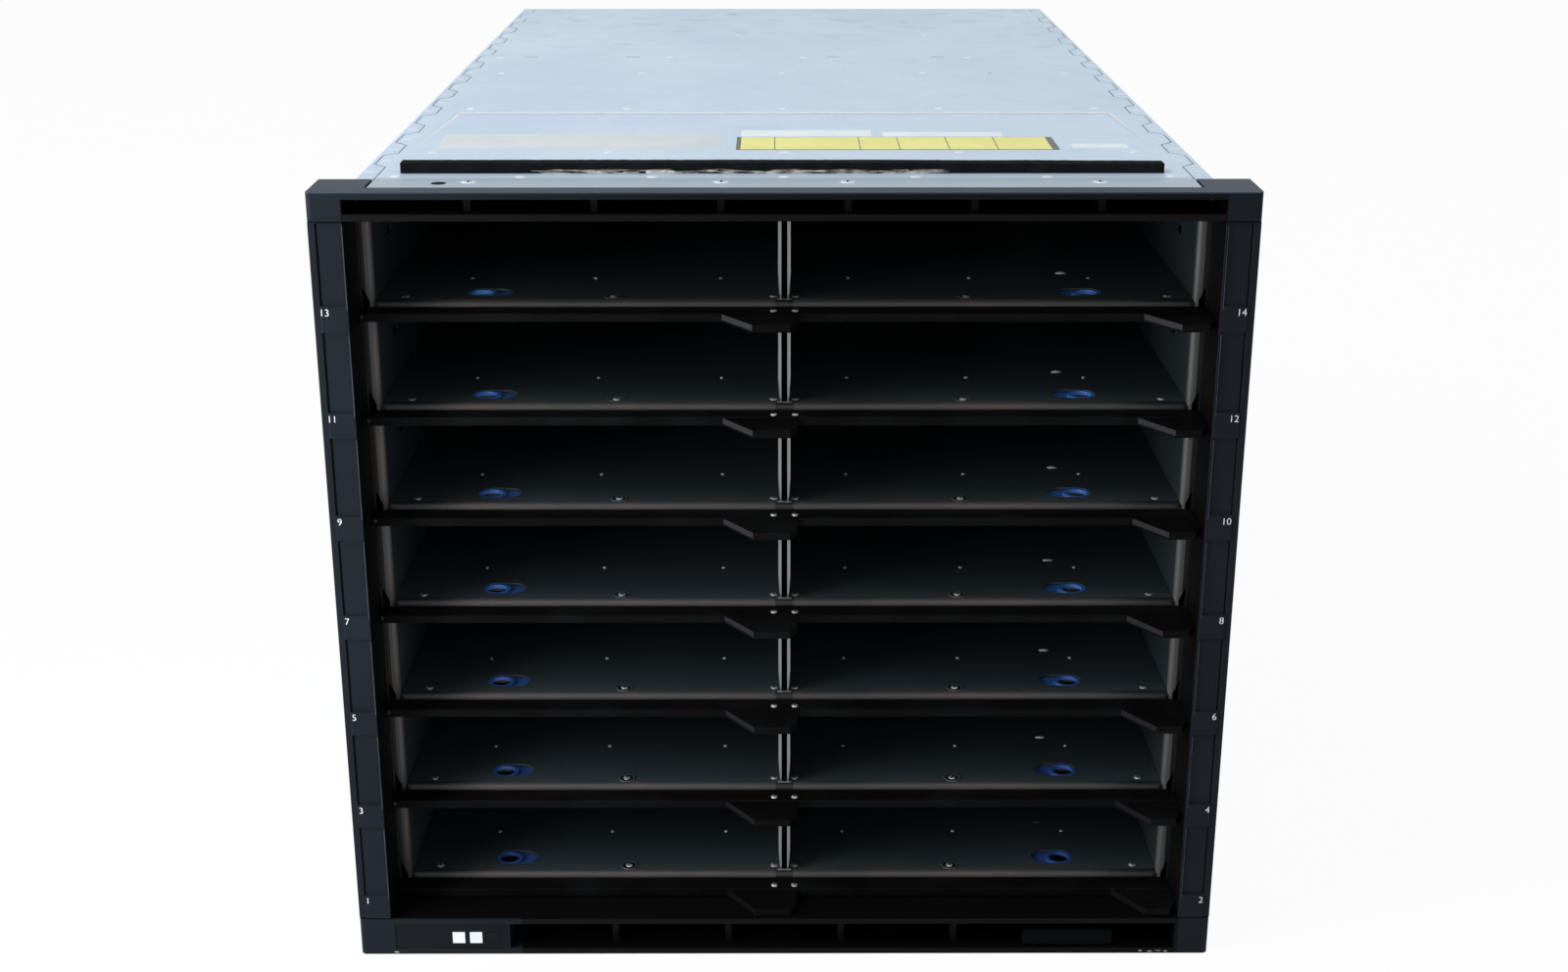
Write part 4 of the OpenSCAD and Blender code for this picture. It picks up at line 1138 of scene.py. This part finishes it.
# %% Weld the sides
WELD_ROWS = [(depth, z) for depth in range(70, 790, 60) for z in (14, 426)]
WELD_COLUMNS = [(depth, z) for depth in (300, 560, 780) for z in range(60, 400, 68)]
DIMPLE = [(3.4, 0), (3.0, 0.16), (2.2, 0.2), (1.2, 0.1)]


def side_welds(drawing):
    for side, facing in ((-1, TO_LEFT), (1, TO_RIGHT)):
        for depth, z in WELD_ROWS + WELD_COLUMNS:
            spot = (side * (body_half - 0.02 * MM), behind(depth), z * MM)
            turned(drawing, spot, facing, DIMPLE)


welds = piece("side_welds", side_welds, [WELDED])
print("side welds:", len(welds.data.polygons), "faces")

# %% [markdown]
# ## Lamps and screws of the rear modules
# Every rear module has status lamps, domed lenses in a dark ring, so that a failed one can be
# found from behind the rack. Cross-head screws hold the fans and blanks. The modules of one kind
# are a single solid, so a module's place is worked out as a share of that solid's box.

# %% Hang the lamps and screws
FANS = range(1, 11)
FAN_REACH = (36.5, 33.5)
SMALL_FAN_REACH = (36.5, 23)
SUPPLY_LAMPS = ((8, 0), (14, 0), (20, 1))
SUPPLY_IN = 27
SUPPLY_DROP = 7
MANAGEMENT_LAMPS = ((-6, 0), (0, 0), (6, 1))
MANAGEMENT_DROP = 34
BLANKS = 4
BLANK_SCREW_IN = 30 * MM
LAMP_RING = [(1.9, 0), (1.8, 0.5)]
port_x = sum(corner.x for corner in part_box("management_modules")) / 2


def fan_corner(number, right, up):
    """A place near a corner of a fan's frame; right and up are -1 or 1."""
    low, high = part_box(f"fan_rotor_{number}")
    across, rise = SMALL_FAN_REACH if number % 5 == 0 else FAN_REACH
    return (low.x + high.x) / 2 + right * across * MM, (low.z + high.z) / 2 + up * rise * MM


def stacked(name, count):
    """Middle heights of equal modules stacked in one solid, and the height of one."""
    low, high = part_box(name)
    step = (high.z - low.z) / count
    return [low.z + step * (index + 0.5) for index in range(count)], step


def rear_lamps(drawing):
    def lamp(x, z, finish=0):
        turned(drawing, (x, rear, z), TO_REAR, LAMP_RING, segments=14, finish=2)
        turned(drawing, (x, rear + 0.5 * MM, z), TO_REAR, dome(1.2, 0.6),
               segments=14, finish=finish)

    for number in FANS:
        lamp(*fan_corner(number, -1, -1))
    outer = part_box("power_supplies")[1].x - SUPPLY_IN * MM
    heights, step = stacked("power_supplies", 3)
    for z in heights:
        for side in SIDES.values():
            for offset, finish in SUPPLY_LAMPS:
                lamp(side * outer + offset * MM, z + step / 2 - SUPPLY_DROP * MM, finish)
    for z in stacked("management_modules", 2)[0]:
        for offset, finish in MANAGEMENT_LAMPS:
            lamp(port_x + offset * MM, z - MANAGEMENT_DROP * MM, finish)


def rear_screws(drawing):
    for number in FANS:
        for right, up in ((-1, 1), (1, -1)):
            x, z = fan_corner(number, right, up)
            screw_head(drawing, (x, rear, z), TO_REAR, 2.6, 1.0)
    low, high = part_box("io_fillers")
    for blank in range(BLANKS):
        x = low.x + (high.x - low.x) / BLANKS * (blank + 0.5)
        for z in (low.z + BLANK_SCREW_IN, high.z - BLANK_SCREW_IN):
            screw_head(drawing, (x, rear, z), TO_REAR, 3.2, 1.4)


lamps = piece("rear_lamps", rear_lamps, [GREEN_LENS, AMBER_LENS, BLACK_AND_RECESS_SHADE])
screws = piece("rear_screws", rear_screws, [SCREW, BLACK_AND_RECESS_SHADE])
print("rear lamps and screws:", len(lamps.data.polygons) + len(screws.data.polygons), "faces")

# %% [markdown]
# ## Network ports
# A port is a plated shell folded from sheet, set into the module, with a dark back and a row of
# eight gold contacts. Each layer is a list of boxes of one finish, in millimetres from the
# port's middle, and starts its own distance inside the rear face.

# %% Set in the ports
PORT_ZS = (-70, -50)
SHELL_WALLS = ((-8, 8, 5.5, 6.5), (-8, 8, -6.5, -5.5), (-8, -7, -6.5, 6.5), (7, 8, -6.5, 6.5))
CONTACTS = [(x - 0.25, x + 0.25, 3.6, 4.6) for x in (-4.2, -3, -1.8, -0.6, 0.6, 1.8, 3, 4.2)]
PORT_BACK = ((-8, 8, -6.5, 6.5),)
PORT_LAYERS = ((SHELL_WALLS, 14, 14.2), (CONTACTS, 10, 7), (PORT_BACK, 15, 1))


def port_shells(drawing):
    for middle in stacked("management_modules", 2)[0]:
        for rise in PORT_ZS:
            for finish, (boxes, inside, length) in enumerate(PORT_LAYERS):
                spot = (port_x, rear - inside * MM, middle + rise * MM)
                for left, right, low, high in boxes:
                    outline = [(left, -high), (right, -high), (right, -low), (left, -low)]
                    prism(drawing, outline, TO_REAR, spot, length, finish)


ports = piece("port_shells", port_shells, [SCREW, GOLD, BLACK_AND_RECESS_SHADE])
print("port shells:", len(ports.data.polygons), "faces")

# %% [markdown]
# ## Edge highlights and chips of the bezel
# The arrises of both columns' pockets carry a thin painted highlight, the right one brighter than
# the left, and the lower edge of the bottom bar has lost a few chips of finish where the chassis
# has stood on it.

# %% Edge highlights and chips on the bezel
CHIPS = ((203.5, 1.5, 3.0), (209, 1.2, 3.4), (213.5, 1.6, 5.0), (218, 1.3, 2.8), (-222, 1.2, 3.4))
CHIP_CORNERS = 9
ARRIS = ((0, 4), (0.3, 4), (0.3, 48), (0, 48))
ARRIS_XS = ((-mouth_half - 0.6 * MM, 2), (mouth_half + 1.1 * MM, 0))


def bezel_wear(drawing):
    for row in ROWS:
        for x, finish in ARRIS_XS:
            prism(drawing, ARRIS, TO_FRONT, (x, front, floor_height(row)), HAIR, finish)
    draw_lots = random.Random(11)
    for x, z, length in CHIPS:
        outline = []
        for step in range(CHIP_CORNERS):
            angle = step * math.tau / CHIP_CORNERS
            reach = draw_lots.uniform(0.6, 1.0)
            outline.append((math.cos(angle) * reach * length / 2, math.sin(angle) * reach * 0.45))
        prism(drawing, outline, TO_FRONT, (x * MM, front, z * MM), HAIR, finish=1)


wear = piece("bezel_wear", bezel_wear, [EDGE_HIGHLIGHT, CHIPPED, EDGE_HIGHLIGHT_PALE])
print("bezel wear:", len(wear.data.polygons), "faces")

# %% [markdown]
# ## Stage and light
# A pale floor and soft light from the upper left. The world is white to the camera and to
# reflections, and dimmer to everything else, so a colour renders about as it is written.

# %% Make the floor
FLOOR_GLOW = 0.95
FLOOR_DROP = 0.4 * MM


def make_floor():
    bpy.ops.mesh.primitive_plane_add(size=60, location=(0, 0, -FLOOR_DROP))
    floor = bpy.context.object
    floor.name = "floor"
    finish = Finish("floor_white", Roughness=0.9)
    clouds = finish.noise(0.5, 2)
    finish.paint(Base_Color=finish.blend((240, 241, 242), (236, 237, 238), clouds))
    glow = finish.node("ShaderNodeEmission", None, {"Color": (1, 1, 1, 1), "Strength": 1.0})
    seen = finish.node("ShaderNodeLightPath", output="Is Camera Ray")
    mixed = finish.node("ShaderNodeMixShader", None,
                        {0: seen * FLOOR_GLOW, 1: Wire(finish, finish.shader.outputs[0]), 2: glow})
    finish.feed(finish.tree.nodes["Material Output"].inputs["Surface"], mixed)
    floor.data.materials.append(finish.material)
    return floor


stage_floor = make_floor()
print("floor under the chassis at", round(stage_floor.location.z, 4))

# %% Light the object
AMBIENT = 0.42


def make_world():
    world = bpy.data.worlds.new("studio")
    world.use_nodes = True
    bpy.context.scene.world = world
    web = Web(world.node_tree)
    camera_ray, glossy_ray, clear_ray = (web.node("ShaderNodeLightPath", output=f"Is {kind} Ray")
                                         for kind in ("Camera", "Glossy", "Transmission"))
    background = web.tree.nodes["Background"]
    web.feed(background.inputs["Color"], (1, 1, 1, 1))
    web.feed(background.inputs["Strength"],
             AMBIENT + (camera_ray | glossy_ray | clear_ray) * (1 - AMBIENT))


def add_lamp(name, spot, target, size, watts):
    lamp = bpy.data.lights.new(name, "AREA")
    lamp.size = size
    lamp.energy = watts
    hang(name, lamp, spot, Vector(target) - Vector(spot))


make_world()
add_lamp("upper_left", (-2.0, -1.2, 2.6), (0, 0, 0.3), 1.6, 55)
add_lamp("left_front", (-0.85, -0.95, 0.5), (-0.1, -0.4, 0.25), 0.6, 4)
add_lamp("left_near", (-0.6, -0.68, 0.34), (-0.22, -0.42, 0.26), 0.3, 1.8)
bpy.context.scene.view_settings.view_transform = "Standard"
